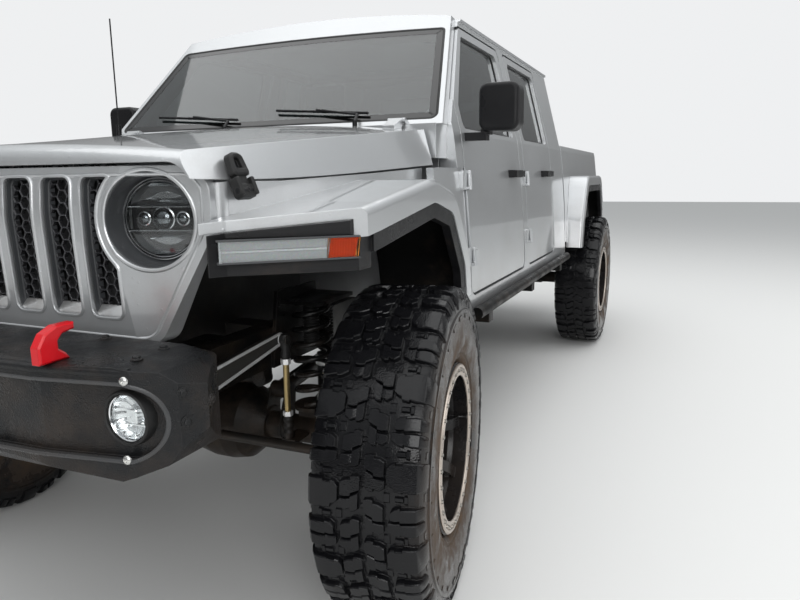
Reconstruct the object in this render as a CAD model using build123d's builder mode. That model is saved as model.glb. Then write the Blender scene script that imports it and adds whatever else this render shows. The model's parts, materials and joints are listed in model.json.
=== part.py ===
"""Lifted off-road pickup with four doors, as an assembly of separate pieces.

Millimetres. X points forward, Y to the vehicle's left, Z up. The origin lies on the
ground, midway between the two bumpers. The front wheels stand turned a little to the
left, as they do where the vehicle is parked.
"""
from build123d import *
from math import cos, radians, sin, tan
import os

os.makedirs("parts", exist_ok=True)

# Main sizes of the vehicle
overall_length = 5540.0      # bumper to bumper
front_overhang = 860.0       # front axle to the tip of the front bumper
wheelbase = 3487.0
wheel_track = 1740.0         # between the middles of the tyres of one axle
steer_angle = 8.0            # turn of the front wheels at rest, to the left
front_axle_x = overall_length / 2 - front_overhang
rear_axle_x = front_axle_x - wheelbase
rear_end_x = -overall_length / 2

# Wheels and tyres
tyre_radius = 467.0
tyre_width = 300.0
tyre_bead_radius = 222.0     # where the tyre sits on the rim
tyre_wall = 16.0
rim_lip_radius = 246.0
rim_width = 236.0
barrel_radius = 212.0
barrel_wall = 7.0
hub_face_offset = 25.0       # hub face inboard of the tyre's middle
disc_radius = 165.0
disc_thickness = 26.0
hub_shaft_radius = 40.0
hub_shaft_length = 80.0
disc_setback = 26.0          # disc inboard of the hub face
hub_carrier_radius = 64.0
caliper_radius = 196.0
caliper_air = 6.0            # running gap round the disc
spoke_count = 8
spoke_width = 34.0

# Axles and steering
axle_tube_radius = 42.0
kingpin_y = 735.0
steering_arm = 180.0         # kingpin to tie rod ball, straight ahead
link_radius = 16.0
arm_z = 46.0                 # steering arm above the axle's middle
arm_thickness = 18.0
ball_joint_z = 112.0         # ball joint ears above and below the axle's middle
ear_thickness = 22.0
front_pumpkin_y = 250.0      # middle of the front differential
pumpkin_radius = 125.0

# Ladder frame
rail_y = 420.0               # middle of each side rail
rail_width = 70.0
rail_height = 120.0
rail_top_mid = 735.0
rail_top_front = 800.0
rail_top_rear = 880.0
crossmember_size = 70.0

# Body stations along X, measured back from the front axle
nose_x = front_axle_x + 605.0            # face of the grille on the centreline
hood_rear_x = front_axle_x - 525.0
cowl_front_x = front_axle_x - 545.0
glass_base_x = front_axle_x - 592.0      # windshield plane where it meets the cowl
front_door_x = front_axle_x - 750.0
front_door_length = 890.0
pillar_width = 95.0                      # body strip between the doors of one side
rear_door_length = 700.0
cab_rear_x = front_axle_x - 2817.0
bed_gap = 36.0
bed_length = 1600.0
tailgate_thickness = 62.0

# Body heights
sill_bottom_z = 705.0
floor_bottom_z = 750.0
floor_thickness = 25.0
door_bottom_z = 790.0
belt_z = 1402.0
gutter_z = 1862.0
roof_rise = 64.0
bed_floor_z = 985.0
bed_top_z = 1434.0
cowl_side_z = 1277.0         # split line between hood and fender at the rear
cowl_top_z = 1425.0

# Body widths and walls
sill_half = 826.0
belt_half = 778.0
gutter_half = 660.0
flank_bulge = 9.0
door_thickness = 62.0
frame_thickness = 44.0
panel = 26.0
glass_thickness = 5.0
door_gap = 9.0
shut_gap = 6.0
fit = 0.3                    # seat of one piece on another

# Glass openings
window_bottom_z = 1420.0
window_top_z = 1805.0
screen_rake = 42.5           # windshield from the upright, in degrees
screen_thickness = 55.0

# Fenders and flares
flare_half = 930.0
flare_sheet = 24.0
arch_radius = 520.0
rear_arch_z = 640.0

# Grille
grille_half = 640.0
grille_top_z = 1270.0
grille_bottom_z = 868.0
grille_depth = 86.0
slot_count = 7
slot_pitch = 125.0
slot_width = 90.0
slot_top_z = 1247.0
slot_bottom_z = 932.0
lamp_y = 500.0
lamp_z = 1152.0
lamp_radius = 106.0
lamp_sweep = 15.0            # turn of each lamp's face outward, in degrees

# Bumpers and rear end
bumper_half = 735.0
bumper_top_z = 895.0
bumper_bottom_z = 655.0
bumper_depth = 210.0
rear_bumper_depth = 150.0
receiver_bore = 51.0
receiver_wall = 8.0
receiver_length = 170.0
receiver_z = 640.0
hitch_pin_radius = 8.0

# Hinges
hinge_stand = 22.0           # door hinge pins outboard of the skin
hinge_pin_radius = 7.0


def save(part, name):
    """Label one finished piece and write it to its own file."""
    part.label = name
    export_step(part, f"parts/{name}.step")


def flank_y(z):
    """Half width of the body at height z."""
    if z <= belt_z:
        return sill_half + (belt_half - sill_half) * (z - door_bottom_z) / (belt_z - door_bottom_z)
    return belt_half + (gutter_half - belt_half) * (z - belt_z) / (gutter_z - belt_z)


def flank_shell(x_front, x_rear, z_low, z_high, lower, upper, inset=0.0):
    """Left wall of the body between two stations, lower and upper give its thickness."""
    with BuildPart() as shell:
        with BuildSketch(Plane.YZ.offset(x_rear)):
            with BuildLine():
                outer_low = (flank_y(z_low) - inset, z_low)
                if z_high > belt_z > z_low:
                    outer_belt = (belt_half - inset, belt_z)
                    middle_z = (z_low + belt_z) / 2
                    ThreePointArc(
                        outer_low, (flank_y(middle_z) - inset + flank_bulge, middle_z), outer_belt
                    )
                    Line(outer_belt, (flank_y(z_high) - inset, z_high))
                    Line((flank_y(z_high) - inset, z_high), (flank_y(z_high) - upper, z_high))
                    Line((flank_y(z_high) - upper, z_high), (belt_half - upper, belt_z + 30))
                    Line((belt_half - upper, belt_z + 30), (belt_half - lower, belt_z))
                    Line((belt_half - lower, belt_z), (flank_y(z_low) - lower, z_low))
                else:
                    Line(outer_low, (flank_y(z_high) - inset, z_high))
                    Line((flank_y(z_high) - inset, z_high), (flank_y(z_high) - lower, z_high))
                    Line((flank_y(z_high) - lower, z_high), (flank_y(z_low) - lower, z_low))
                Line((flank_y(z_low) - lower, z_low), outer_low)
            make_face()
        extrude(amount=x_front - x_rear)
    return shell.part


# Windshield plane
screen_slope = tan(radians(screen_rake))


def screen_x(z):
    """Windshield plane's place at height z."""
    return glass_base_x - (z - 1440.0) * screen_slope


# Wheels: tyre, rim with bead ring, hub and disc turn together.
# Both are drawn with local X along the wheel's axis, outboard.

wheel_half = tyre_width / 2
rim_half = rim_width / 2


lug_count = 24
lug_gap = 28.0


def make_tyre():
    """Tyre about its own axis, open towards the rim."""
    crown = tyre_radius
    middle = (tyre_bead_radius + crown) / 2
    outer_half = [
        # along the axis, radius: bead, flange top, lower wall, widest, shoulder, tread edge
        (rim_half, tyre_bead_radius),
        (rim_half, rim_lip_radius + 3),
        (wheel_half - 12, rim_lip_radius + 26),
        (wheel_half, middle),
        (wheel_half - 3, crown - 42),
        (wheel_half - 16, crown - 8),
        (wheel_half - 40, crown),
    ]
    inner_half = [
        (rim_half - tyre_wall, tyre_bead_radius),
        (wheel_half - 14 - tyre_wall, rim_lip_radius + 30),
        (wheel_half - tyre_wall - 4, crown - 60),
        (wheel_half - 50, crown - 30),
    ]
    outline = outer_half + [(-a, r) for a, r in reversed(outer_half)]
    outline += [(-a, r) for a, r in inner_half] + list(reversed(inner_half))
    with BuildPart() as tyre:
        with BuildSketch(Plane.XY):
            with BuildLine():
                Polyline(*outline, close=True)
            make_face()
        revolve(axis=Axis.X)
        # Grooves between the shoulder lugs, staggered from side to side
        step = 360.0 / lug_count
        spots = []
        for index in range(lug_count):
            for side, turn in ((1, 0.0), (-1, step / 2)):
                angle = index * step + turn
                reach = crown - 6.0
                spots.append(Location(
                    (side * (wheel_half - 22), -reach * sin(radians(angle)), reach * cos(radians(angle))),
                    (angle, 0, 0),
                ))
        with Locations(*spots):
            Box(74, lug_gap, 40, mode=Mode.SUBTRACT)
    return tyre.part


def make_wheel():
    """Rim, spokes, bead ring, hub shaft and brake disc."""
    seat = tyre_bead_radius
    face = -hub_face_offset
    rim_section = [
        # along the axis, radius
        (rim_half + 14, rim_lip_radius - 4),
        (rim_half + 10, rim_lip_radius),
        (rim_half, rim_lip_radius),
        (rim_half, seat),
        (rim_half - 30, seat - 2),
        (rim_half - 44, barrel_radius),
        (44 - rim_half, barrel_radius),
        (30 - rim_half, seat - 2),
        (-rim_half, seat),
        (-rim_half, rim_lip_radius - 6),
        (-rim_half - 8, rim_lip_radius - 6),
        (-rim_half - 8, seat - barrel_wall),
        (30 - rim_half, seat - barrel_wall - 2),
        (46 - rim_half, barrel_radius - barrel_wall),
        (rim_half - 46, barrel_radius - barrel_wall),
        (rim_half - 30, seat - barrel_wall - 6),
        (rim_half + 14, seat - barrel_wall - 6),
    ]
    dish_section = [
        (face - hub_shaft_length, 0),
        (face + 62, 0),
        (face + 62, 40),
        (face + 40, 44),
        (face + 26, 92),
        (face - 10, 92),
        (face - disc_setback, 70),
        (face - disc_setback, disc_radius),
        (face - disc_setback - disc_thickness, disc_radius),
        (face - disc_setback - disc_thickness, hub_shaft_radius),
        (face - hub_shaft_length, hub_shaft_radius),
    ]
    spoke_side = [
        (face + 2, 80),
        (face + 26, 84),
        (rim_half - 30, barrel_radius - 40),
        (rim_half - 14, barrel_radius - 3),
        (rim_half - 48, barrel_radius - 3),
        (face + 12, 120),
    ]
    with BuildPart() as wheel:
        with BuildSketch(Plane.XY):
            with BuildLine():
                Polyline(*rim_section, close=True)
            make_face()
        revolve(axis=Axis.X)
        with BuildSketch(Plane.XY):
            with BuildLine():
                Polyline(*dish_section, close=True)
            make_face()
        revolve(axis=Axis.X)
        for k in range(spoke_count):
            turn = Plane(origin=(0, 0, 0), x_dir=(1, 0, 0), z_dir=(
                0, -sin(radians(360 / spoke_count * k)), cos(radians(360 / spoke_count * k))
            ))
            with BuildSketch(turn):
                with BuildLine():
                    Polyline(*spoke_side, close=True)
                make_face()
            extrude(amount=spoke_width / 2, both=True)
    return wheel.part


def out_direction(side, angle):
    """Outboard direction of a wheel's axis."""
    return (-side * sin(radians(angle)), side * cos(radians(angle)), 0)


def wheel_plane(x, side, angle):
    """Plane at a wheel's middle, local X along its axis and outboard."""
    out = out_direction(side, angle)
    y = side * kingpin_y
    middle = (x + out[0] * kingpin_reach, y + out[1] * kingpin_reach, tyre_radius)
    return Plane(origin=middle, x_dir=out, z_dir=(0, 0, 1))


kingpin_reach = wheel_track / 2 - kingpin_y
wheel_table = [
    # name, x, side, angle
    ("front_left", front_axle_x, 1, steer_angle),
    ("front_right", front_axle_x, -1, steer_angle),
    ("rear_left", rear_axle_x, 1, 0.0),
    ("rear_right", rear_axle_x, -1, 0.0),
]
plain_tyre = make_tyre()
plain_wheel = make_wheel()
for name, x, side, angle in wheel_table:
    place = wheel_plane(x, side, angle)
    save(plain_tyre.moved(place.location), f"tyre_{name}")
    save(plain_wheel.moved(place.location), f"wheel_{name}")


# Knuckles: hub carrier, ball joint ears, steering arm and brake caliper.
# Local X runs outboard along the stub, local Z up, from the middle of the kingpin.

bearing_x = kingpin_reach - hub_face_offset - hub_shaft_length
disc_x = kingpin_reach - hub_face_offset - disc_setback - disc_thickness / 2
carrier_thickness = disc_x - disc_thickness / 2 - caliper_air - bearing_x


def caliper(carrier_x):
    """Brake caliper over the disc's rear edge, with its bracket to the carrier face."""
    reach = disc_thickness / 2 + caliper_air
    with BuildPart() as body:
        with BuildSketch(Plane.YZ.offset(disc_x - reach - 26)):
            with BuildLine():
                ThreePointArc((96, 92), (caliper_radius, 0), (96, -92))
                Line((96, -92), (60, -40))
                Line((60, -40), (60, 40))
                Line((60, 40), (96, 92))
            make_face()
        extrude(amount=2 * reach + 46)
        with BuildSketch(Plane.YZ.offset(disc_x - reach)):
            Circle(disc_radius + caliper_air)
        extrude(amount=2 * reach + 40, mode=Mode.SUBTRACT)
        with BuildSketch(Plane.YZ.offset(disc_x + reach)):
            with Locations((143, 0)):
                Rectangle(76, 110)
        extrude(amount=18)
        with BuildSketch(Plane.YZ.offset(carrier_x)):
            with Locations((66, 0)):
                Rectangle(50, 60)
        extrude(amount=disc_x - reach - 2 - carrier_x)
    return body.part


def make_knuckle():
    """Left knuckle, built straight ahead, with local Y pointing to the rear."""
    with BuildPart() as knuckle:
        with BuildSketch(Plane.YZ.offset(bearing_x)):
            Circle(hub_carrier_radius)
            with Locations((0, 80), (0, -80)):
                Rectangle(56, 56)
        extrude(amount=carrier_thickness)
        with BuildSketch(Plane.YZ.offset(bearing_x - 12)):
            Circle(hub_carrier_radius)
        extrude(amount=12)
        with BuildSketch(Plane.YZ.offset(bearing_x)):
            Circle(hub_shaft_radius + fit)
        extrude(amount=60, mode=Mode.SUBTRACT)
        # Ears to the ball joints, over and under the axle's fork
        ear_length = bearing_x + carrier_thickness + 22
        for z in (ball_joint_z, -ball_joint_z):
            with Locations((ear_length / 2 - 22, 0, z)):
                Box(ear_length, 46, ear_thickness)
        # Steering arm, level and straight ahead
        with BuildSketch(Plane.XY.offset(arm_z - arm_thickness / 2)):
            with BuildLine():
                Polyline(
                    (bearing_x + carrier_thickness, -30),
                    (bearing_x + carrier_thickness, -62),
                    (16, 10 - steering_arm),
                    (-16, 10 - steering_arm),
                    (bearing_x - 12, -40),
                    (bearing_x - 12, -30),
                    close=True,
                )
            make_face()
            with Locations((0, -steering_arm)):
                Circle(18)
        extrude(amount=arm_thickness)
        add(caliper(bearing_x))
    return knuckle.part


left_knuckle = make_knuckle()
for name, side in [("left", 1), ("right", -1)]:
    origin = (front_axle_x, side * kingpin_y, tyre_radius)
    place = Plane(origin=origin, x_dir=out_direction(side, steer_angle), z_dir=(0, 0, 1))
    shape = left_knuckle if side > 0 else left_knuckle.mirror(Plane.XZ)
    save(shape.moved(place.location), f"knuckle_{name}")


# Small makers shared by the chassis pieces

def link_tube(start, end, radius):
    """Straight round bar between two points."""
    with BuildPart() as bar:
        with BuildLine() as path:
            Line(start, end)
        with BuildSketch(Plane(origin=start, z_dir=path.line % 0)):
            Circle(radius)
        sweep(path=path.line)
    return bar.part


def eye(point, radius, width):
    """Rubber bush eye across the vehicle."""
    with BuildPart(Plane(origin=point, z_dir=(0, 1, 0))) as bush:
        Cylinder(radius, width)
    return bush.part


def ear_pair(y, gap, thickness, points):
    """Two plates either side of an eye, hulled round circles given as x, z, radius."""
    with BuildPart() as plates:
        for edge in (y - gap / 2 - thickness, y + gap / 2):
            with BuildSketch(Plane.XZ.offset(-edge)):
                for x, z, radius in points:
                    with Locations((x, z)):
                        Circle(radius)
                make_hull()
            extrude(amount=-thickness)
    return plates.part


# Ladder frame: two kicked rails, crossmembers, spring towers and brackets

rail_inner = rail_y - rail_width / 2
rail_outer = rail_y + rail_width / 2
rail_bottom_front = rail_top_front - rail_height
rail_bottom_mid = rail_top_mid - rail_height
rail_bottom_rear = rail_top_rear - rail_height
rail_front_x = front_axle_x + 620.0
rail_rear_x = rear_end_x + rear_bumper_depth
front_ramp = (front_axle_x - 490.0, front_axle_x - 640.0)
rear_ramp = (cab_rear_x - 24.0, cab_rear_x - 240.0)
sway_bar_x = front_axle_x + 440.0
sway_bar_z = 735.0
sway_bar_radius = 15.0
sway_bush_radius = 24.0
spring_x = front_axle_x - 30.0
spring_y = 535.0
spring_top_z = 868.0
seat_plate = 12.0
eye_width = 50.0
eye_radius = 27.0
ear_plate = 7.0
rear_spring_x = rear_axle_x - 75.0

front_lower_axle = (front_axle_x - 75.0, 405.0)
front_lower_frame = (front_axle_x - 610.0, 572.0)
front_upper_axle = (front_axle_x - 30.0, 575.0)
front_upper_frame = (front_axle_x - 420.0, 636.0)
rear_lower_axle = (rear_axle_x + 75.0, 405.0)
rear_lower_frame = (rear_axle_x + 640.0, 572.0)
rear_upper_axle = (rear_axle_x + 30.0, 580.0)
rear_upper_frame = (rear_axle_x + 400.0, 706.0)
arm_table = [
    # axle eye, frame eye, bar radius
    (front_lower_axle, front_lower_frame, 24.0),
    (front_upper_axle, front_upper_frame, 19.0),
    (rear_lower_axle, rear_lower_frame, 24.0),
    (rear_upper_axle, rear_upper_frame, 19.0),
]
crossmember_table = [
    # x, height of the top, depth
    (front_axle_x + 500.0, rail_top_front, 70.0),
    (front_axle_x + 335.0, rail_top_front - 30, 60.0),
    (front_axle_x - 1530.0, rail_top_mid - 8, 80.0),
    (front_axle_x - 2560.0, rail_top_mid - 8, 80.0),
    (rear_axle_x + 330.0, rail_top_rear - 8, 80.0),
    (rear_axle_x - 420.0, rail_top_rear - 8, 80.0),
]
body_mounts = (front_axle_x - 820.0, front_axle_x - 1640.0, front_axle_x - 2640.0)

hitch_beam_z = rail_top_rear - 85

with BuildPart() as frame:
    with BuildSketch(Plane.XZ.offset(-rail_inner)):
        with BuildLine():
            Polyline(
                (rail_front_x, rail_top_front),
                (front_ramp[0], rail_top_front),
                (front_ramp[1], rail_top_mid),
                (rear_ramp[0], rail_top_mid),
                (rear_ramp[1], rail_top_rear),
                (rail_rear_x, rail_top_rear),
                (rail_rear_x, rail_bottom_rear),
                (rear_ramp[1], rail_bottom_rear),
                (rear_ramp[0], rail_bottom_mid),
                (front_ramp[1], rail_bottom_mid),
                (front_ramp[0], rail_bottom_front),
                (rail_front_x, rail_bottom_front),
                close=True,
            )
        make_face()
        with Locations((sway_bar_x, sway_bar_z)):
            Circle(sway_bush_radius, mode=Mode.SUBTRACT)
    extrude(amount=-rail_width)
    # Spring towers stand outboard of the rails over the front axle
    with BuildSketch(Plane.XZ.offset(-rail_outer)):
        with BuildLine():
            Polyline(
                (spring_x - 160, rail_bottom_front),
                (spring_x + 110, rail_bottom_front),
                (spring_x + 75, spring_top_z + 40),
                (spring_x - 150, spring_top_z + 40),
                close=True,
            )
        make_face()
    extrude(amount=-seat_plate)
    with Locations((spring_x - 42, rail_outer + 74, spring_top_z + seat_plate / 2)):
        Box(214, 148, seat_plate)
    # Body mounts under the cab
    with Locations(*[(x, rail_y, (rail_top_mid + floor_bottom_z) / 2) for x in body_mounts]):
        Cylinder(30, floor_bottom_z - rail_top_mid)
    # Brackets of the control arms and rear shocks
    for (axle_x, axle_z), (x, z), bar in arm_table:
        top_z = rail_bottom_mid + 20 if z < rail_bottom_mid else z + 60
        add(ear_pair(rail_y, eye_width + 2 * fit, ear_plate, [(x, z, eye_radius), (x, top_z, 30)]))
    with Locations((rear_axle_x - 205, rail_outer + 45, rail_top_rear - 40)):
        Box(70, 90, seat_plate)
    mirror(about=Plane.XZ)
    for x, top_z, depth in crossmember_table:
        with Locations((x, 0, top_z - depth / 2)):
            Box(crossmember_size, 2 * rail_inner, depth)
    # Last crossmember, which carries the hitch
    with Locations((rail_rear_x + 60, 0, hitch_beam_z + 35)):
        Box(90, 2 * rail_inner, 70)
save(frame.part, "frame")


# Axles: tubes, differential, forks or flanges, spring seats and brackets

fork_gap = 0.6
fork_top = ball_joint_z - ear_thickness / 2 - fork_gap


def axle_body(x, pumpkin_y, cover_side, tube_end):
    """Axle tube with its differential housing, cover towards cover_side."""
    with BuildPart() as axle:
        with BuildSketch(Plane.XZ.offset(tube_end)):
            with Locations((x, tyre_radius)):
                Circle(axle_tube_radius)
        extrude(amount=-2 * tube_end)
        # Housing turned about the axle's own direction, then its nose and cover
        with BuildSketch(Plane.YZ.offset(x)):
            with BuildLine():
                Polyline(
                    (pumpkin_y - 150, tyre_radius),
                    (pumpkin_y - 150, tyre_radius + 55),
                    (pumpkin_y - 80, tyre_radius + pumpkin_radius - 10),
                    (pumpkin_y - 30, tyre_radius + pumpkin_radius),
                    (pumpkin_y + 30, tyre_radius + pumpkin_radius),
                    (pumpkin_y + 80, tyre_radius + pumpkin_radius - 10),
                    (pumpkin_y + 150, tyre_radius + 55),
                    (pumpkin_y + 150, tyre_radius),
                    close=True,
                )
            make_face()
        revolve(axis=Axis((x, 0, tyre_radius), (0, 1, 0)))
        with BuildSketch(Plane.YZ.offset(x)):
            with Locations((pumpkin_y, tyre_radius)):
                Circle(62)
        extrude(amount=-cover_side * pinion_reach, taper=8)
    return axle.part


pinion_reach = 190.0
spring_seat_z = 545.0
rear_spring_seat_z = 540.0
front_tube_end = kingpin_y - 46.0
rear_tube_end = wheel_track / 2 - hub_face_offset - hub_shaft_length - 2.0
track_bar_x = front_axle_x + 76.0
track_bar_axle = (track_bar_x, -430.0, 560.0)
track_bar_frame = (track_bar_x, 420.0, 645.0)
rear_bar_x = rear_axle_x - 165.0
rear_bar_axle = (rear_bar_x, 430.0, 560.0)
rear_bar_frame = (rear_bar_x, -420.0, 700.0)
link_foot = (front_axle_x + 106.0, 526.0, 505.0)
shock_foot_z = 430.0
front_shock = (front_axle_x - 142.0, 520.0)
rear_shock = (rear_axle_x - 205.0, 512.0)

with BuildPart() as front_axle:
    add(axle_body(front_axle_x, front_pumpkin_y, 1, front_tube_end))
    for side in (1, -1):
        # Fork that holds the knuckle's ball joints between its two lugs
        with BuildSketch(Plane.XZ.offset(-side * (front_tube_end - 30))):
            with Locations((front_axle_x, tyre_radius)):
                Circle(axle_tube_radius + 10)
                Rectangle(60, 2 * fork_top)
        extrude(amount=-side * 34)
        for z in (tyre_radius + fork_top - 22, tyre_radius - fork_top):
            with BuildSketch(Plane.XY.offset(z)):
                with Locations((front_axle_x, side * kingpin_y)):
                    Circle(21)
                with Locations((front_axle_x, side * (kingpin_y - 28))):
                    Rectangle(42, 56)
            extrude(amount=22)
    for (axle_eye, frame_eye, bar) in arm_table[:2]:
        for side in (1, -1):
            add(ear_pair(side * rail_y, eye_width + 2 * fit, ear_plate, [
                (axle_eye[0], axle_eye[1], eye_radius), (front_axle_x, tyre_radius, 44)]))
    for side in (1, -1):
        with Locations((spring_x, side * spring_y, spring_seat_z - seat_plate / 2)):
            Cylinder(62, seat_plate)
        with Locations((spring_x + 8, side * spring_y, (tyre_radius + spring_seat_z - 8) / 2)):
            Box(60, 70, spring_seat_z - 10 - tyre_radius)
        with Locations((front_shock[0] + 50, side * front_shock[1], shock_foot_z - seat_plate / 2)):
            Box(170, 70, seat_plate)
        with Locations((link_foot[0] - 40, side * (link_foot[1] + 8), link_foot[2] - 25 - fit - seat_plate / 2)):
            Box(110, 46, seat_plate)
    with Locations((front_axle_x + 59, track_bar_axle[1], track_bar_axle[2] - 24 - fit - 24)):
        Box(78, 40, 48)
save(front_axle.part, "front_axle")

rear_caliper = caliper(rear_tube_end - 14 - kingpin_y)
with BuildPart() as rear_axle:
    add(axle_body(rear_axle_x, 0.0, -1, rear_tube_end))
    for side in (1, -1):
        with BuildSketch(Plane.XZ.offset(-side * (rear_tube_end - 14))):
            with Locations((rear_axle_x, tyre_radius)):
                Circle(hub_carrier_radius)
        extrude(amount=-side * 14)
        place = Plane(
            origin=(rear_axle_x, side * kingpin_y, tyre_radius),
            x_dir=(0, side, 0), z_dir=(0, 0, 1),
        )
        shape = rear_caliper if side > 0 else rear_caliper.mirror(Plane.XZ)
        add(shape.moved(place.location))
    for (axle_eye, frame_eye, bar) in arm_table[2:]:
        for side in (1, -1):
            add(ear_pair(side * rail_y, eye_width + 2 * fit, ear_plate, [
                (axle_eye[0], axle_eye[1], eye_radius), (rear_axle_x, tyre_radius, 44)]))
    for side in (1, -1):
        with Locations((rear_spring_x, side * rail_y, rear_spring_seat_z - seat_plate / 2)):
            Cylinder(62, seat_plate)
        with Locations((rear_spring_x, side * rail_y, (tyre_radius + rear_spring_seat_z - 8) / 2)):
            Box(56, 70, rear_spring_seat_z - 10 - tyre_radius)
        with Locations((rear_shock[0] + 85, side * rear_shock[1], shock_foot_z - seat_plate / 2)):
            Box(240, 70, seat_plate)
    with Locations((rear_axle_x - 105, rear_bar_axle[1], rear_bar_axle[2] - 24 - fit - 20)):
        Box(165, 40, 40)
save(rear_axle.part, "rear_axle")


# Control arms with an eye at each end, and a track bar across each axle


def track_bar(frame_end, axle_end, rail_z):
    """Bar with its two eyes and the bracket up to the rail."""
    with BuildPart() as bar:
        add(link_tube(frame_end, axle_end, link_radius))
        for x, y, z in (frame_end, axle_end):
            with BuildSketch(Plane.YZ.offset(x - 20)):
                with Locations((y, z)):
                    Circle(24)
            extrude(amount=40)
        with Locations((frame_end[0], frame_end[1], (frame_end[2] + rail_z) / 2)):
            Box(46, 40, rail_z - frame_end[2])
    return bar.part


with BuildPart() as suspension_arms:
    for side in (1, -1):
        for axle_eye, frame_eye, bar in arm_table:
            start = (axle_eye[0], side * rail_y, axle_eye[1])
            end = (frame_eye[0], side * rail_y, frame_eye[1])
            add(link_tube(start, end, bar))
            add(eye(start, eye_radius, eye_width))
            add(eye(end, eye_radius, eye_width))
    add(track_bar(track_bar_frame, track_bar_axle, rail_bottom_front))
    add(track_bar(rear_bar_frame, rear_bar_axle, rail_bottom_rear))
save(suspension_arms.part, "suspension_arms")


# Coil springs
front_coils = 6.5
coil_radius = 52.0
wire_radius = 8.0


def coil(x, y, z_low, z_high, turns):
    """One coil spring standing between two seats, each end closed by a flat turn."""
    low = z_low + wire_radius + fit
    high = z_high - wire_radius - fit
    with BuildPart() as spring:
        with BuildLine(Plane.XY.offset(low)) as path:
            Helix(pitch=(high - low) / turns, height=high - low, radius=coil_radius)
        with BuildSketch(Plane(origin=path.line @ 0, z_dir=path.line % 0)):
            Circle(wire_radius)
        sweep(path=path.line)
    return spring.part.moved(Location((x, y, 0)))


with BuildPart() as springs:
    for side in (1, -1):
        add(coil(spring_x, side * spring_y, spring_seat_z, spring_top_z, front_coils))
        add(coil(rear_spring_x, side * rail_y, rear_spring_seat_z, rail_bottom_rear, 5.0))
save(springs.part, "springs")


# Shock absorbers: body below, rod above
with BuildPart() as shocks:
    for (x, y), top_z in ((front_shock, spring_top_z), (rear_shock, rail_top_rear - 46)):
        for side in (1, -1):
            with BuildSketch(Plane(origin=(x, side * y, 0), x_dir=(1, 0, 0), z_dir=(0, -1, 0))):
                with BuildLine():
                    Polyline(
                        (0, shock_foot_z), (20, shock_foot_z), (20, shock_foot_z + 30),
                        (31, shock_foot_z + 36), (31, shock_foot_z + 250),
                        (11, shock_foot_z + 254), (11, top_z - 26), (22, top_z - 26),
                        (22, top_z), (0, top_z), close=True,
                    )
                make_face()
            revolve(axis=Axis((x, side * y, 0), (0, 0, 1)))
save(shocks.part, "shocks")


# Sway bar through the frame rails, with its flat arms and upright links
sway_arm_y = 500.0
sway_arm_thickness = 14.0
link_bar_radius = 9.0
arm_rear = (link_foot[0], 779.0)

with BuildPart() as sway_bar:
    with BuildSketch(Plane.XZ.offset(sway_arm_y)):
        with Locations((sway_bar_x, sway_bar_z)):
            Circle(sway_bar_radius)
    extrude(amount=-2 * sway_arm_y)
    for side in (1, -1):
        # Bush in the rail's bore
        with BuildSketch(Plane.XZ.offset(-side * (rail_inner - 6))):
            with Locations((sway_bar_x, sway_bar_z)):
                Circle(sway_bush_radius - fit)
        extrude(amount=-side * (rail_width + 12))
        # Flat tapered arm
        with BuildSketch(Plane.XZ.offset(-side * (sway_arm_y - sway_arm_thickness / 2))):
            with Locations((sway_bar_x, sway_bar_z)):
                Circle(32)
            with Locations(arm_rear):
                Circle(20)
            make_hull()
        extrude(amount=-side * sway_arm_thickness)
        # Link from the arm down to its tab on the axle
        add(link_tube(
            (arm_rear[0], side * link_foot[1], arm_rear[1] + 12),
            (link_foot[0], side * link_foot[1], link_foot[2] - 18),
            link_bar_radius,
        ))
        with BuildSketch(Plane.XZ.offset(-side * (sway_arm_y + 2))):
            with Locations(arm_rear):
                Circle(15)
        extrude(amount=-side * 36)
        with Locations((link_foot[0], side * link_foot[1], link_foot[2] - 16)):
            Cylinder(15, 18)
save(sway_bar.part, "sway_bar")


# Steering: box, pitman arm, tie rod and drag link

pitman_pivot = (front_axle_x + 232.0, 338.0)
pitman_z = 622.0
pitman_thickness = 20.0
steer_shift = (
    steering_arm * cos(radians(steer_angle)),
    steering_arm * sin(radians(steer_angle)),
)
tie_z = tyre_radius + arm_z - arm_thickness / 2 - fit - link_radius
pitman_ball_x = pitman_pivot[0] + steer_shift[0]
pitman_ball_y = pitman_pivot[1] + steer_shift[1]
tie_x = front_axle_x + steer_shift[0]

with BuildPart() as steering_links:
    # Tie rod under both steering arms
    left_ball = (tie_x, kingpin_y + steer_shift[1], tie_z)
    right_ball = (tie_x, -kingpin_y + steer_shift[1], tie_z)
    add(link_tube(left_ball, right_ball, link_radius - 2))
    for x, y, z in (left_ball, right_ball):
        with Locations((x, y, z)):
            Cylinder(18, 2 * link_radius)
    # Drag link from the pitman arm to the right end of the tie rod
    drag_z = pitman_z - pitman_thickness / 2 - fit - link_radius
    pitman_ball = (pitman_ball_x, pitman_ball_y, drag_z)
    add(link_tube(pitman_ball, (tie_x, right_ball[1] + 60, tie_z), link_radius - 3))
    with Locations(pitman_ball):
        Cylinder(18, 2 * link_radius)
save(steering_links.part, "steering_links")

with BuildPart() as pitman_arm:
    with BuildSketch(Plane.XY.offset(pitman_z - pitman_thickness / 2)):
        with Locations(pitman_pivot):
            Circle(26)
        with Locations((pitman_ball_x, pitman_ball_y)):
            Circle(18)
        make_hull()
    extrude(amount=pitman_thickness)
    with Locations((pitman_pivot[0], pitman_pivot[1], pitman_z + 30)):
        Cylinder(17, 60)
save(pitman_arm.part, "pitman_arm")

box_bottom = pitman_z + pitman_thickness / 2 + 10
with BuildPart() as steering_box:
    with Locations((pitman_pivot[0], pitman_pivot[1] + 2, box_bottom + 75)):
        Box(120, 2 * (rail_inner - pitman_pivot[1]) - 4, 150)
    with Locations((pitman_pivot[0], pitman_pivot[1], box_bottom + 30)):
        Cylinder(17 + fit, 90, mode=Mode.SUBTRACT)
save(steering_box.part, "steering_box")


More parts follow.
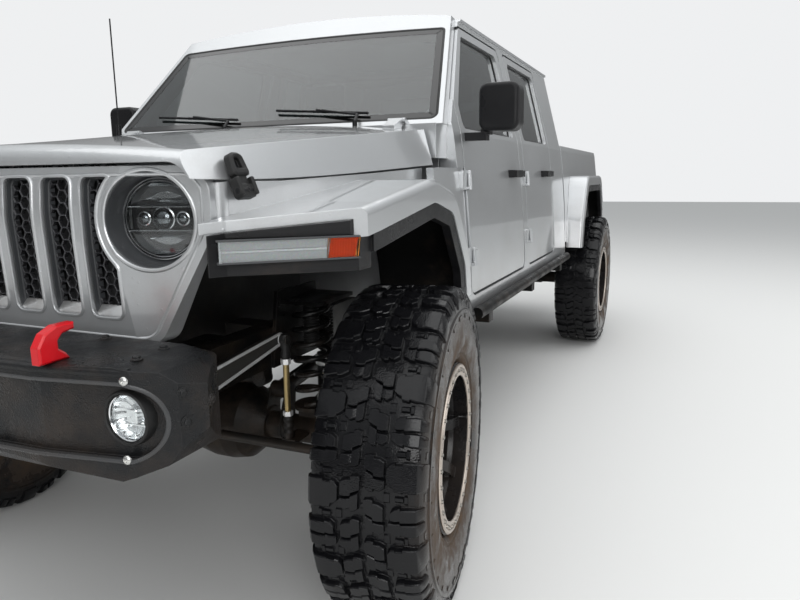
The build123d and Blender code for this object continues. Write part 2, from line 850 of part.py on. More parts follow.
# Engine as one plain block, gearbox, transfer case and propeller shafts
engine_front_x = front_axle_x + 245.0
engine_rear_x = front_axle_x - 480.0
engine_bottom_z = 690.0
engine_top_z = 1120.0
gearbox_rear_x = front_axle_x - 1150.0
transfer_rear_x = front_axle_x - 1440.0

with BuildPart() as drivetrain:
    with Locations(((engine_front_x + engine_rear_x) / 2, 0, (engine_bottom_z + engine_top_z) / 2)):
        Box(engine_front_x - engine_rear_x, 440, engine_top_z - engine_bottom_z)
    with BuildSketch(Plane.YZ.offset(gearbox_rear_x)):
        with Locations((0, 640)):
            RectangleRounded(250, 170, 40)
    extrude(amount=engine_rear_x - gearbox_rear_x)
    with BuildSketch(Plane.YZ.offset(transfer_rear_x)):
        with Locations((0, 622)):
            Circle(95)
        with Locations((front_pumpkin_y, 588)):
            Circle(62)
        make_hull()
    extrude(amount=gearbox_rear_x - transfer_rear_x)
    # Rubber-mounted feet on the rails and the crossmember behind
    for side in (1, -1):
        with Locations((front_axle_x - 60, side * (220 + rail_inner) / 2, 760)):
            Box(90, rail_inner - 220, 40)
    crossmember_x = crossmember_table[2][0] + crossmember_size / 2
    with Locations(((transfer_rear_x + crossmember_x) / 2, 0, 680)):
        Box(transfer_rear_x - crossmember_x, 60, 50)
    add(link_tube(
        (transfer_rear_x, 0, 622 - 20), (rear_axle_x + pinion_reach + 3, 0, tyre_radius + 14), 38
    ))
    add(link_tube(
        (gearbox_rear_x, front_pumpkin_y, 588),
        (front_axle_x - pinion_reach - 4, front_pumpkin_y, tyre_radius + 8), 30
    ))
save(drivetrain.part, "drivetrain")


# Exhaust down the right side and fuel tank between rail and propeller shaft
exhaust_radius = 32.0
exhaust_z = 590.0

with BuildPart() as exhaust:
    with BuildLine() as path:
        FilletPolyline(
            (front_axle_x - 300, -220, 700),
            (front_axle_x - 300, -292, 700),
            (front_axle_x - 420, -292, exhaust_z),
            (rear_axle_x - 420, -292, exhaust_z),
            (rear_axle_x - 760, -560, exhaust_z + 10),
            (rear_axle_x - 960, -640, exhaust_z + 10),
            radius=34,
        )
    with BuildSketch(Plane(origin=path.line @ 0, z_dir=path.line % 0)):
        Circle(exhaust_radius)
    sweep(path=path.line)
    with BuildSketch(Plane.YZ.offset(rear_axle_x + 420)):
        with Locations((-262, exhaust_z + 20)):
            RectangleRounded(180, 130, 50)
    extrude(amount=420)
save(exhaust.part, "exhaust")

tank_front_x = crossmember_table[2][0] - crossmember_size / 2 - 10
tank_rear_x = crossmember_table[3][0] + crossmember_size / 2 + 10
with BuildPart() as fuel_tank:
    with BuildSketch(Plane.YZ.offset(tank_rear_x)):
        with BuildLine():
            Polyline(
                (rail_inner - fit, 725), (rail_inner - fit, 560), (160, 540), (120, 575), (120, 725),
                close=True,
            )
        make_face()
    extrude(amount=tank_front_x - tank_rear_x)
    fillet(fuel_tank.edges().filter_by(Axis.X), 14)
save(fuel_tank.part, "fuel_tank")


# Door hinges: pins stand outboard of the skin at each door's front edge

hinge_heights = (938.0, 1226.0)


def hinge_y(z):
    """Hinge pin's distance from the middle of the vehicle at height z."""
    return flank_y(z) + hinge_stand


def hinge_barrel(x, z, low, high):
    """Length of one hinge's barrel along the tilted pin."""
    pin_x = x + shut_gap / 2
    start = (pin_x, hinge_y(z + low), z + low)
    end = (pin_x, hinge_y(z + high), z + high)
    return link_tube(start, end, hinge_pin_radius + 2)


def door_hinges(x):
    """Door's half of its hinges: a leaf on the skin and a barrel round the pin."""
    with BuildPart() as leaves:
        for z in hinge_heights:
            add(hinge_barrel(x, z, -22, 22))
            with BuildSketch(Plane.XZ.offset(8 - flank_y(z))):
                with Locations((x - 32, z)):
                    RectangleRounded(64, 42, 8)
            extrude(amount=-hinge_stand - 6)
    return leaves.part


def body_hinges(x):
    """Body's half: a leaf ahead of the door and a barrel over and under the door's."""
    with BuildPart() as leaves:
        for z in hinge_heights:
            add(hinge_barrel(x, z, 22 + fit, 36))
            add(hinge_barrel(x, z, -36, -22 - fit))
            with BuildSketch(Plane.XZ.offset(8 - flank_y(z))):
                with Locations((x + 36, z)):
                    RectangleRounded(50, 72, 8)
            extrude(amount=-24)
            for step in (29.5, -29.5):
                with Locations((x + 12, flank_y(z + step) + 17.5, z + step)):
                    Box(18, 9, 11)
    return leaves.part


# Cab: floor, sills, pillars, rear wall and top rails in one shell

firewall_x = front_axle_x - 660.0
hood_pin = (hood_rear_x - 10.0, cowl_top_z + 13.0)
hood_strap_y = 610.0
hood_strap_width = 46.0
door_top_z = 1838.0
pillar_depth_x = screen_thickness / cos(radians(screen_rake))
cant_rail_z = gutter_z
front_door_rear_x = front_door_x - front_door_length
rear_door_x = front_door_rear_x - pillar_width
rear_door_rear_x = rear_door_x - rear_door_length
corner_radius = 38.0


def pillar_line_x(z):
    """Rear face of the raked windshield frame, plus the door gap."""
    return screen_x(z) - pillar_depth_x - door_gap


pillar_meet_z = 1440 + (glass_base_x - pillar_depth_x - door_gap - front_door_x) / screen_slope
front_door_outline = [
    (front_door_x, door_bottom_z),
    (front_door_x, pillar_meet_z),
    (pillar_line_x(door_top_z), door_top_z),
    (front_door_rear_x, door_top_z),
    (front_door_rear_x, door_bottom_z),
]
rear_door_outline = [
    (rear_door_x, door_bottom_z),
    (rear_door_x, door_top_z),
    (rear_door_rear_x, door_top_z),
    (rear_door_rear_x, door_bottom_z),
]
window_side = 62.0
front_window = [
    (front_door_x - 46, window_bottom_z),
    (front_door_x - 46, pillar_meet_z - 14),
    (pillar_line_x(window_top_z) - 42, window_top_z),
    (front_door_rear_x + window_side, window_top_z),
    (front_door_rear_x + window_side, window_bottom_z),
]
rear_window = [
    (rear_door_x - window_side, window_bottom_z),
    (rear_door_x - window_side, window_top_z),
    (rear_door_rear_x + 52, window_top_z),
    (rear_door_rear_x + 52, window_bottom_z),
]


def side_cut(points, radius, grow=0.0):
    """Block through the left half of the body with the outline of a door or window."""
    with BuildPart() as block:
        with BuildSketch(Plane.XZ.offset(-400)):
            with BuildLine():
                Polyline(*points, close=True)
            make_face()
            fillet(vertices(), radius)
            if grow:
                offset(amount=grow)
        extrude(amount=-700)
    return block.part


rear_wall = 34.0
rear_glass_half = 500.0
rear_glass_low = 1470.0
rear_glass_high = 1780.0
floor_half = flank_y(floor_bottom_z) - door_thickness

with BuildPart() as cab:
    add(flank_shell(firewall_x, cab_rear_x, sill_bottom_z, cant_rail_z, door_thickness, frame_thickness))
    add(side_cut(front_door_outline, corner_radius, door_gap), mode=Mode.SUBTRACT)
    add(side_cut(rear_door_outline, corner_radius, door_gap), mode=Mode.SUBTRACT)
    # The front fender's rear panel lies over the front post
    add(flank_shell(
        firewall_x + 10, front_door_x + door_gap - 1, door_bottom_z - fit, cowl_side_z - shut_gap + fit,
        panel + fit, panel + fit, inset=-20,
    ), mode=Mode.SUBTRACT)
    # Room for the raked windshield frame and everything ahead of it
    with BuildSketch(Plane.XZ.offset(-400)):
        with BuildLine():
            Polyline(
                (pillar_line_x(cowl_top_z) + door_gap - fit, cowl_top_z),
                (pillar_line_x(cant_rail_z + 50) + door_gap - fit, cant_rail_z + 50),
                (firewall_x + 400, cant_rail_z + 50),
                (firewall_x + 400, cowl_top_z),
                close=True,
            )
        make_face()
    extrude(amount=-700, mode=Mode.SUBTRACT)
    add(body_hinges(rear_door_x))
    # Ears of the hood's hinges
    for y in (hood_strap_y - hood_strap_width / 2 - 10 - fit, hood_strap_y + hood_strap_width / 2 + fit):
        with BuildSketch(Plane.XZ.offset(-y)):
            with Locations(hood_pin):
                Circle(8)
            with Locations((cowl_front_x - 16, cowl_top_z)):
                Rectangle(32, 4)
            make_hull()
        extrude(amount=-10)
    mirror(about=Plane.XZ)
    # Floor, firewall and rear wall
    with Locations(((firewall_x + cab_rear_x) / 2, 0, floor_bottom_z + floor_thickness / 2)):
        Box(firewall_x - cab_rear_x, 2 * floor_half + 4, floor_thickness)
    with Locations((firewall_x - panel / 2, 0, (floor_bottom_z + cowl_top_z) / 2)):
        Box(panel, 2 * floor_half - 90, cowl_top_z - floor_bottom_z)
    with BuildSketch(Plane.YZ.offset(cab_rear_x)):
        with BuildLine():
            Polyline(
                (floor_half + 8, floor_bottom_z),
                (belt_half - 30, belt_z),
                (gutter_half - 20, cant_rail_z),
                (20 - gutter_half, cant_rail_z),
                (30 - belt_half, belt_z),
                (-floor_half - 8, floor_bottom_z),
                close=True,
            )
        make_face()
        with Locations((0, (rear_glass_low + rear_glass_high) / 2)):
            RectangleRounded(
                2 * rear_glass_half, rear_glass_high - rear_glass_low, 40, mode=Mode.SUBTRACT
            )
    extrude(amount=rear_wall)
    # Cowl: box ahead of the firewall that carries the windshield
    with Locations(((cowl_front_x + firewall_x) / 2, 0, cowl_top_z - 60)):
        Box(cowl_front_x - firewall_x, 2 * (belt_half - 24), 120)
save(cab.part, "cab")

# Crowned outline of the roof, which also tops the windshield frame
roof_wall = 28.0
shoulder_half = 600.0
shoulder_z = gutter_z + roof_rise - 40


def roof_block(front_x, rear_x):
    """Roof outline extruded between two stations."""
    with BuildPart() as block:
        with BuildSketch(Plane.YZ.offset(rear_x)):
            with BuildLine():
                Polyline(
                    (-shoulder_half, shoulder_z), (-gutter_half, gutter_z + 14), (-gutter_half, gutter_z),
                    (gutter_half, gutter_z), (gutter_half, gutter_z + 14), (shoulder_half, shoulder_z),
                )
                ThreePointArc(
                    (shoulder_half, shoulder_z), (0, gutter_z + roof_rise), (-shoulder_half, shoulder_z),
                )
            make_face()
        extrude(amount=front_x - rear_x)
    return block.part


# Windshield frame on the cowl: a raked plate with a recess that holds the glass
screen_height = (cant_rail_z - cowl_top_z) / cos(radians(screen_rake))
screen_base = Plane(
    origin=(screen_x(cowl_top_z), 0, cowl_top_z),
    x_dir=(0, 1, 0),
    z_dir=(cos(radians(screen_rake)), 0, sin(radians(screen_rake))),
)
screen_low_half = flank_y(cowl_top_z) - 6
screen_high_half = gutter_half - 2
glass_recess = 7.0
glass_low = 26.0
glass_high = 52.0
glass_side = 20.0
screen_crown = 20.0          # arch of the glass along its top edge


def screen_outline(low, high, side):
    """Outline on the raked plane, inset at the base, the top and the sides."""
    slope = (screen_low_half - screen_high_half) / screen_height
    low_half = screen_low_half - slope * low - side
    high_half = screen_high_half + slope * high - side
    return [
        (low_half, low), (high_half, screen_height - high),
        (-high_half, screen_height - high), (-low_half, low),
    ]


under_crown_depth = cant_rail_z - cowl_top_z + 163
with BuildPart() as under_crown:
    add(roof_block(screen_x(cowl_top_z), screen_x(cant_rail_z) - 200))
    with Locations((screen_x(cant_rail_z), 0, cant_rail_z - under_crown_depth / 2)):
        Box(1400, 1800, under_crown_depth)
with BuildPart() as windshield_frame:
    with BuildSketch(screen_base):
        with BuildLine():
            Polyline(*screen_outline(-60, -130, 0), close=True)
        make_face()
    extrude(amount=-screen_thickness)
    with BuildSketch(screen_base):
        with BuildLine():
            corners = screen_outline(glass_low, glass_high, glass_side)
            Polyline(corners[2], corners[3], corners[0], corners[1])
            ThreePointArc(corners[1], (0, corners[1][1] + screen_crown), corners[2])
        make_face()
        fillet(vertices(), 26)
    extrude(amount=-glass_recess, mode=Mode.SUBTRACT)
    with BuildSketch(screen_base):
        with BuildLine():
            corners = screen_outline(glass_low + 30, glass_high + 14, glass_side + 34)
            Polyline(corners[2], corners[3], corners[0], corners[1])
            ThreePointArc(corners[1], (0, corners[1][1] + screen_crown), corners[2])
        make_face()
        fillet(vertices(), 34)
    extrude(amount=-screen_thickness, mode=Mode.SUBTRACT)
    split(bisect_by=Plane.XY.offset(cowl_top_z), keep=Keep.TOP)
    add(under_crown.part, mode=Mode.INTERSECT)
save(windshield_frame.part, "windshield_frame")

with BuildPart() as fixed_glass:
    with BuildSketch(screen_base.offset(-glass_recess)):
        with BuildLine():
            corners = screen_outline(glass_low, glass_high, glass_side)
            Polyline(corners[2], corners[3], corners[0], corners[1])
            ThreePointArc(corners[1], (0, corners[1][1] + screen_crown), corners[2])
        make_face()
        fillet(vertices(), 26)
        offset(amount=-1)
    extrude(amount=glass_thickness)
    with BuildSketch(Plane.YZ.offset(cab_rear_x + rear_wall / 2)):
        with Locations((0, (rear_glass_low + rear_glass_high) / 2)):
            RectangleRounded(
                2 * rear_glass_half - 2 * fit, rear_glass_high - rear_glass_low - 2 * fit, 40 - fit
            )
    extrude(amount=glass_thickness)
save(fixed_glass.part, "fixed_glass")


# Hardtop that closes the cab, with a drip rail along each side
roof_front_x = screen_x(cant_rail_z) + 6
roof_header = 150.0
roof_inner_half = 545.0

with BuildPart() as roof:
    add(roof_block(roof_front_x, cab_rear_x))
    fillet(roof.edges().filter_by(Axis.X).group_by(Axis.Z)[-2], 11)
    with BuildSketch(Plane.YZ.offset(cab_rear_x + roof_wall)):
        with BuildLine():
            foot = (roof_inner_half, gutter_z - 5)
            Line((-foot[0], foot[1]), foot)
            ThreePointArc(foot, (0, gutter_z + roof_rise - roof_wall), (-foot[0], foot[1]))
        make_face()
    extrude(amount=roof_front_x - roof_header - cab_rear_x - roof_wall, mode=Mode.SUBTRACT)
    for side in (1, -1):
        with BuildSketch(Plane.YZ.offset(cab_rear_x)):
            with Locations((side * (gutter_half + 5), gutter_z + 9)):
                Rectangle(10, 12)
        extrude(amount=roof_front_x - 60 - cab_rear_x)
    # Front edge lies against the back of the windshield frame
    with BuildSketch(screen_base.offset(-screen_thickness - fit)):
        Rectangle(4 * gutter_half, 3 * screen_height)
    extrude(amount=400, mode=Mode.SUBTRACT)
save(roof.part, "roof")


# Doors and their panes

def make_door(outline, window, x_front, x_rear):
    """Left door: hollow frame round the window, curved skin below it."""
    with BuildPart() as door:
        add(flank_shell(
            x_front + 400, x_rear - 10, door_bottom_z - 5, door_top_z + 5,
            door_thickness, frame_thickness,
        ))
        add(side_cut(outline, corner_radius), mode=Mode.INTERSECT)
        add(side_cut(window, 30), mode=Mode.SUBTRACT)
        # Leave room for the inner rear edge as the door swings
        with BuildSketch(Plane.XY.offset(door_bottom_z - 20)):
            with BuildLine():
                Polyline(
                    (x_rear - 20, 500), (x_rear + 14, 500), (x_rear + 14, 590),
                    (x_rear + 9, 716), (x_rear - 4, sill_half - 34), (x_rear - 20, sill_half - 20),
                    close=True,
                )
            make_face()
        extrude(amount=1300, mode=Mode.SUBTRACT)
        add(door_hinges(x_front))
    return door.part


def make_pane(window):
    """Door glass set midway in the frame round the window."""
    with BuildPart() as pane:
        add(flank_shell(
            front_door_x + 400, cab_rear_x, window_bottom_z - 12, window_top_z + 20,
            frame_thickness / 2 + glass_thickness, 0, inset=frame_thickness / 2,
        ))
        add(side_cut(window, 30), mode=Mode.INTERSECT)
    return pane.part


front_door = make_door(front_door_outline, front_window, front_door_x, front_door_rear_x)
rear_door = make_door(rear_door_outline, rear_window, rear_door_x, rear_door_rear_x)
for name, door, window in (
    ("front", front_door, front_window), ("rear", rear_door, rear_window),
):
    pane = make_pane(window)
    save(door, f"door_{name}_left")
    save(door.mirror(Plane.XZ), f"door_{name}_right")
    save(pane, f"glass_{name}_left")
    save(pane.mirror(Plane.XZ), f"glass_{name}_right")


# Hood: crowned shell hinged at its rear edge, its nose rounded over the grille
hood_front_x = nose_x - 2.0
hood_wall = 22.0
hood_sections = [
    # x, half width at the edge, edge height, shoulder half, shoulder height, crown height
    (hood_rear_x, 750.0, 1280.0, 716.0, 1402.0, 1437.0),
    (front_axle_x - 120.0, 712.0, 1258.0, 676.0, 1366.0, 1398.0),
    (front_axle_x + 300.0, 668.0, 1240.0, 634.0, 1326.0, 1352.0),
    (hood_front_x, 644.0, 1240.0, 606.0, 1298.0, 1324.0),
]


def hood_block(shrink, front_shift, rear_shift):
    """Hood outline lofted along its length, smaller by a wall for the inside."""
    last = len(hood_sections) - 1
    with BuildPart() as block:
        for index, (x, edge, edge_z, shoulder, shoulder_z_here, crown) in enumerate(hood_sections):
            shift = rear_shift if index == 0 else (front_shift if index == last else 0.0)
            with BuildSketch(Plane.YZ.offset(x + shift)):
                with BuildLine():
                    low = edge_z - (60 if shrink else 0)
                    side = edge - shrink
                    top = shoulder - shrink
                    Line((-side, low), (side, low))
                    Line((side, low), (top, shoulder_z_here - shrink))
                    ThreePointArc(
                        (top, shoulder_z_here - shrink), (0, crown - shrink),
                        (-top, shoulder_z_here - shrink),
                    )
                    Line((-top, shoulder_z_here - shrink), (-side, low))
                make_face()
        loft()
    return block.part


grille_corner = 62.0
grille_points = [
    # y, z of the left half, from the top down
    (grille_half, grille_top_z),
    (grille_half, 1120.0),
    (575.0, 1000.0),
    (505.0, grille_bottom_z),
]


def grille_outline(grow):
    """Front view of the grille panel as a block through the nose."""
    with BuildPart() as block:
        with BuildSketch(Plane.YZ.offset(nose_x - 200)):
            with BuildLine():
                left = grille_points
                right = [(-y, z) for y, z in reversed(grille_points)]
                Polyline(*left, *right, close=True)
            make_face()
            fillet(vertices(), grille_corner)
            if grow:
                offset(amount=grow)
        extrude(amount=400)
    return block.part


nose_radius = 40.0
with BuildPart() as nose_room:
    add(grille_outline(shut_gap))
    split(bisect_by=Plane.YZ.offset(nose_x - grille_depth - shut_gap), keep=Keep.TOP)
with BuildPart() as hood:
    add(hood_block(0, 0, 0))
    fillet(hood.edges().filter_by(Axis.X, reverse=True).group_by(Axis.X)[-1].sort_by(Axis.Z)[-1:],
           nose_radius)
    add(hood_block(hood_wall, -hood_wall, hood_wall), mode=Mode.SUBTRACT)
    add(nose_room.part, mode=Mode.SUBTRACT)
    # Straps up to the hinge pins over the cowl
    for side in (1, -1):
        with BuildSketch(Plane.XZ.offset(-side * (hood_strap_y - hood_strap_width / 2))):
            with Locations(hood_pin):
                Circle(8)
            with Locations((hood_rear_x + 40, 1406)):
                Rectangle(50, 20)
            make_hull()
        extrude(amount=-side * hood_strap_width)
save(hood.part, "hood")


# Front fenders: inner side panel, flare sheet and the panel behind the wheel
flare_line = [
    # x from the front axle, z of the flare's top edge, radius of the corner there
    (900.0, 1112.0, 0.0),
    (300.0, 1184.0, 300.0),
    (-70.0, 1236.0, 170.0),
    (-262.0, 1190.0, 130.0),
    (-405.0, 985.0, 160.0),
    (-438.0, 800.0, 0.0),
]
flare_front_plan = [
    # x from the front axle, y: the slanted front edge seen from above
    (598.0, 650.0), (556.0, 690.0), (367.0, flare_half), (-460.0, flare_half), (-460.0, 620.0),
    (490.0, 620.0), (490.0, 650.0),
]
fender_wall = 20.0


def hood_edge(x, shift=0.0):
    """Half width of the body along the hood's lower edge."""
    for (x1, y1, *_), (x0, y0, *_) in zip(hood_sections, hood_sections[1:]):
        if x <= x0:
            return y1 + (y0 - y1) * (x - x1) / (x0 - x1) + shift
    return hood_sections[-1][1] + shift


def flare_arch(points, base_x, z_floor, outer_inset, inner_inset, y_from, y_to):
    """Sheet between two insets of a flare's line, extruded between two widths."""
    first, last = points[0], points[-1]
    path = [(base_x + x, z) for x, z, radius in points]
    radii = [radius for x, z, radius in points[1:-1]]
    low = z_floor - 300
    with BuildPart() as arch:
        with BuildSketch(Plane.XZ.offset(-y_from)):
            with BuildLine():
                FilletPolyline(*path, radius=radii)
                Line((base_x + last[0], last[1]), (base_x + last[0], low))
                Line((base_x + last[0], low), (base_x + first[0], low))
                Line((base_x + first[0], low), (base_x + first[0], first[1]))
            make_face()
            if outer_inset:
                offset(amount=-outer_inset, mode=Mode.REPLACE)
            if inner_inset:
                offset(amount=outer_inset - inner_inset, mode=Mode.SUBTRACT)
            with Locations((base_x + (first[0] + last[0]) / 2, z_floor - 200)):
                Rectangle(first[0] - last[0] + 10, 400, mode=Mode.SUBTRACT)
        extrude(amount=y_from - y_to)
    return arch.part


flange_depth = 65.0          # face of the flare's outer edge
flange_y = flare_half - 26
flange_radius = 20.0


def flare(points, base_x, z_floor, y_from):
    """Flare sheet with a deep flange along its outer edge, rounded on top."""
    with BuildPart() as shell:
        add(flare_arch(points, base_x, z_floor, 0.0, 0.0, y_from, flare_half))
        rim = shell.faces().sort_by(Axis.Y)[-1]
        fillet([
            edge for edge in rim.edges()
            if edge.center().Z > z_floor + 1 and edge.center().X < base_x + points[0][0] - 1
        ], flange_radius)
        add(flare_arch(points, base_x, z_floor - 10, flare_sheet, 0.0, y_from - 10, flange_y),
            mode=Mode.SUBTRACT)
        add(flare_arch(points, base_x, z_floor - 10, flange_depth, 0.0, flange_y - 1, flare_half + 10),
            mode=Mode.SUBTRACT)
    return shell.part


with BuildPart() as fenders:
    add(flare(flare_line, front_axle_x, 850.0, 600.0))
    with BuildSketch(Plane.XY.offset(700)):
        with BuildLine():
            Polyline(*[(front_axle_x + x, y) for x, y in flare_front_plan], close=True)
        make_face()
    extrude(amount=700, mode=Mode.INTERSECT)
    # Side panel under the hood's edge
    with BuildSketch(Plane.XY.offset(1120)):
        with BuildLine():
            stations = [front_axle_x - 440, front_axle_x - 120, front_axle_x + 300, front_axle_x + 500]
            outer = [(x, hood_edge(x)) for x in stations]
            inner = [(x, hood_edge(x, -fender_wall)) for x in reversed(stations)]
            Polyline(*outer, *inner, close=True)
        make_face()
    extrude(amount=200)
    # Panel between the wheel and the front door
    add(flank_shell(
        front_axle_x - 425, front_door_x + door_gap, door_bottom_z, cowl_side_z - shut_gap,
        panel, panel,
    ))
    # Keep everything below the hood's edge
    with BuildSketch(Plane.XZ.offset(-500)):
        with BuildLine():
            ends = [(x, edge_z - shut_gap) for x, _, edge_z, *_ in hood_sections]
            Polyline(
                (front_door_x, cowl_side_z - shut_gap), *ends, (nose_x + 200, ends[-1][1]),
                (nose_x + 200, 1500), (front_door_x, 1500), close=True,
            )
        make_face()
    extrude(amount=-600, mode=Mode.SUBTRACT)
    add(body_hinges(front_door_x))
    mirror(about=Plane.XZ)
save(fenders.part, "fenders")


# Grille panel: face bent across a crease, ends swept back round the lamps
crease_z = 1160.0
crease_lean = 16.0           # how far the top and the foot lie behind the crease
sweep_start_y = 420.0
face_sag = 5.0               # set back of the face where the sweep starts
slot_radius = 18.0
slot_gap_z = slot_top_z - slot_bottom_z


def grille_front(setback):
    """Space behind the grille's bent and swept face."""
    x = nose_x - setback
    swept_x = x - face_sag - (grille_half + 60 - sweep_start_y) * tan(radians(lamp_sweep))
    with BuildPart() as space:
        with BuildSketch(Plane.XY.offset(grille_bottom_z - 60)):
            with BuildLine():
                ThreePointArc((x - face_sag, sweep_start_y), (x, 0), (x - face_sag, -sweep_start_y))
                Line((x - face_sag, -sweep_start_y), (swept_x, -grille_half - 60))
                Line((swept_x, -grille_half - 60), (x - 400, -grille_half - 60))
                Line((x - 400, -grille_half - 60), (x - 400, grille_half + 60))
                Line((x - 400, grille_half + 60), (swept_x, grille_half + 60))
                Line((swept_x, grille_half + 60), (x - face_sag, sweep_start_y))
            make_face()
        extrude(amount=600)
        with BuildSketch(Plane.XZ.offset(-grille_half - 100)):
            with BuildLine():
                Polyline(
                    (x - crease_lean, grille_top_z + 30),
                    (x, crease_z),
                    (x - crease_lean, grille_bottom_z - 30),
                    (x - 420, grille_bottom_z - 30),
                    (x - 420, grille_top_z + 30),
                    close=True,
                )
            make_face()
        extrude(amount=2 * grille_half + 200, mode=Mode.INTERSECT)
    return space.part


def lamp_plane(side, setback=0.0):
    """Plane of a head lamp, its normal forward and turned outboard."""
    x = nose_x - face_sag - (lamp_y - sweep_start_y) * tan(radians(lamp_sweep))
    normal = (cos(radians(lamp_sweep)), side * sin(radians(lamp_sweep)), 0)
    return Plane(
        origin=(x - setback * normal[0], side * lamp_y - setback * normal[1], lamp_z),
        x_dir=(-normal[1], normal[0], 0), z_dir=normal,
    )


grille_sheet = 16.0
slot_table = [
    # index from the middle, y of the slot's middle
    (index, index * slot_pitch) for index in range(-(slot_count // 2), slot_count // 2 + 1)
]
with BuildPart() as hollow:
    add(grille_outline(-grille_sheet))
    add(grille_front(grille_sheet), mode=Mode.INTERSECT)
with BuildPart() as grille:
    add(grille_outline(0))
    add(grille_front(0), mode=Mode.INTERSECT)
    add(hollow.part, mode=Mode.SUBTRACT)
    with Locations((nose_x - grille_depth - 300, 0, 1100)):
        Box(600, 2000, 800, mode=Mode.SUBTRACT)
    with BuildSketch(Plane.YZ.offset(nose_x - 200)):
        for index, y in slot_table:
            with Locations((y, (slot_top_z + slot_bottom_z) / 2)):
                RectangleRounded(slot_width, slot_gap_z, slot_radius)
        # Solid metal round each lamp cuts into the outermost slots
        with Locations((lamp_y, lamp_z), (-lamp_y, lamp_z)):
            Circle(lamp_radius + 26, mode=Mode.SUBTRACT)
    extrude(amount=400, mode=Mode.SUBTRACT)
    for side in (1, -1):
        with BuildSketch(lamp_plane(side, 120)):
            Circle(lamp_radius)
        extrude(amount=240, mode=Mode.SUBTRACT)
save(grille.part, "grille")

# Radiator with its mesh plate behind the slots
mesh_setback = 52.0
mesh_thickness = 6.0
radiator_face_x = nose_x - 92.0
mesh_back_x = nose_x - mesh_setback - mesh_thickness
with BuildPart() as radiator:
    with BuildSketch(Plane.YZ.offset(mesh_back_x)):
        with Locations((0, (slot_top_z + slot_bottom_z) / 2)):
            Rectangle((slot_count - 1) * slot_pitch + slot_width - 10, slot_gap_z + 8)
    extrude(amount=mesh_thickness)
    for side in (1, -1):
        with BuildSketch(lamp_plane(side, 160)):
            Circle(lamp_radius + 3)
        extrude(amount=240, mode=Mode.SUBTRACT)
    with Locations((radiator_face_x - 30, 0, (rail_top_front + 1200) / 2)):
        Box(60, 760, 1200 - rail_top_front)
    for y in (-300, 300):
        with Locations(((radiator_face_x + mesh_back_x) / 2, y, 1160)):
            Box(mesh_back_x - radiator_face_x, 30, 30)
save(radiator.part, "radiator")


# Head lamps in their buckets, and the long lamps on the fender fronts
bucket_depth = 78.0
lens_radius = 84.0
with BuildPart() as head_lamps:
    for side in (1, -1):
        with BuildSketch(lamp_plane(side, bucket_depth + 14)):
            Circle(lamp_radius - fit)
        extrude(amount=14)
        with BuildSketch(lamp_plane(side, bucket_depth)):
            Circle(lamp_radius - fit)
            Circle(lamp_radius - fit - 5, mode=Mode.SUBTRACT)
        extrude(amount=bucket_depth - 3)
        with BuildSketch(lamp_plane(side, bucket_depth)):
            Circle(lens_radius)
        extrude(amount=30, taper=12)
save(head_lamps.part, "head_lamps")


# Fender housings: dark slanted box under each fender's front with its lamp
housing_bottom_z = 1036.0
housing_plan = [
    # x from the front axle, y, along the slanted front and back again
    (600.0, 672.0), (566.0, 694.0), (392.0, flare_half - 12), (330.0, flare_half - 12),
    (330.0, flare_half - 50),
    (500.0, 672.0),
]
lip_height = 43.0


def plan_block(points, z_low, height, outline_grow=0.0):
    """Left block from an outline seen from above."""
    with BuildPart() as block:
        with BuildSketch(Plane.XY.offset(z_low)):
            with BuildLine():
                Polyline(*[(front_axle_x + x, y) for x, y in points], close=True)
            make_face()
            if outline_grow:
                offset(amount=outline_grow)
        extrude(amount=height)
    return block.part


lamp_strip = [
    (604.0, 700.0), (398.0, flare_half - 4), (384.0, flare_half - 16), (560.0, 690.0),
]
lamp_strip_bottom_z = 1064.0
lamp_strip_height = 52.0
lining = flare_sheet + fit
strip = plan_block(lamp_strip, lamp_strip_bottom_z, lamp_strip_height)
with BuildPart() as housing:
    add(plan_block(housing_plan, housing_bottom_z, 160))
    add(flare_arch(flare_line, front_axle_x, 800.0, lining, 0.0, 600.0, flare_half), mode=Mode.INTERSECT)
    add(plan_block(lamp_strip, lamp_strip_bottom_z - fit, lamp_strip_height + 2 * fit, fit),
        mode=Mode.SUBTRACT)
    add(flare_arch(
        flare_line, front_axle_x, 700.0, 0.0, flange_depth + fit, flange_y - fit, flare_half + 10,
    ), mode=Mode.SUBTRACT)
with BuildPart() as fender_liners:
    # Dark lip under the flare's edge, then the housing ahead of it
    add(flare_arch(
        flare_line, front_axle_x, 885.0, flange_depth + fit, flange_depth + lip_height,
        flange_y - 4, flare_half - 4,
    ))
    with BuildSketch(Plane.XZ.offset(44 - flange_y)):
        with Locations((front_axle_x + 330 + 400, 1000)):
            Rectangle(800, 1200)
    extrude(amount=-100, mode=Mode.SUBTRACT)
    add(housing.part)
    mirror(about=Plane.XZ)
save(fender_liners.part, "fender_liners")



# Front bumper on the rail ends, its ends cut up and swept back
bumper_front_x = rail_front_x + bumper_depth + 24
fog_lamp = (622.0, 792.0)
fog_radius = 47.0
fog_depth = 26.0             # lens behind the face of the bumper's swept end
fog_sweep = 0.15             # how fast that face falls back towards the side
bumper_face = [
    # y, z of the left half from the top middle round to the bottom middle
    (610.0, bumper_top_z), (690.0, 884.0), (bumper_half, 846.0), (bumper_half + 2, 758.0),
    (bumper_half - 40, 698.0), (580.0, bumper_bottom_z),
]
bumper_side = [
    # x, z from the top's rear edge round the front face to the bottom's rear edge
    (rail_front_x, bumper_top_z), (bumper_front_x - 30, bumper_top_z),
    (bumper_front_x - 9, bumper_top_z - 9), (bumper_front_x, bumper_top_z - 30),
    (bumper_front_x - 1, bumper_bottom_z + 50), (bumper_front_x - 12, bumper_bottom_z + 28),
    (bumper_front_x - 62, bumper_bottom_z), (rail_front_x, bumper_bottom_z),
]
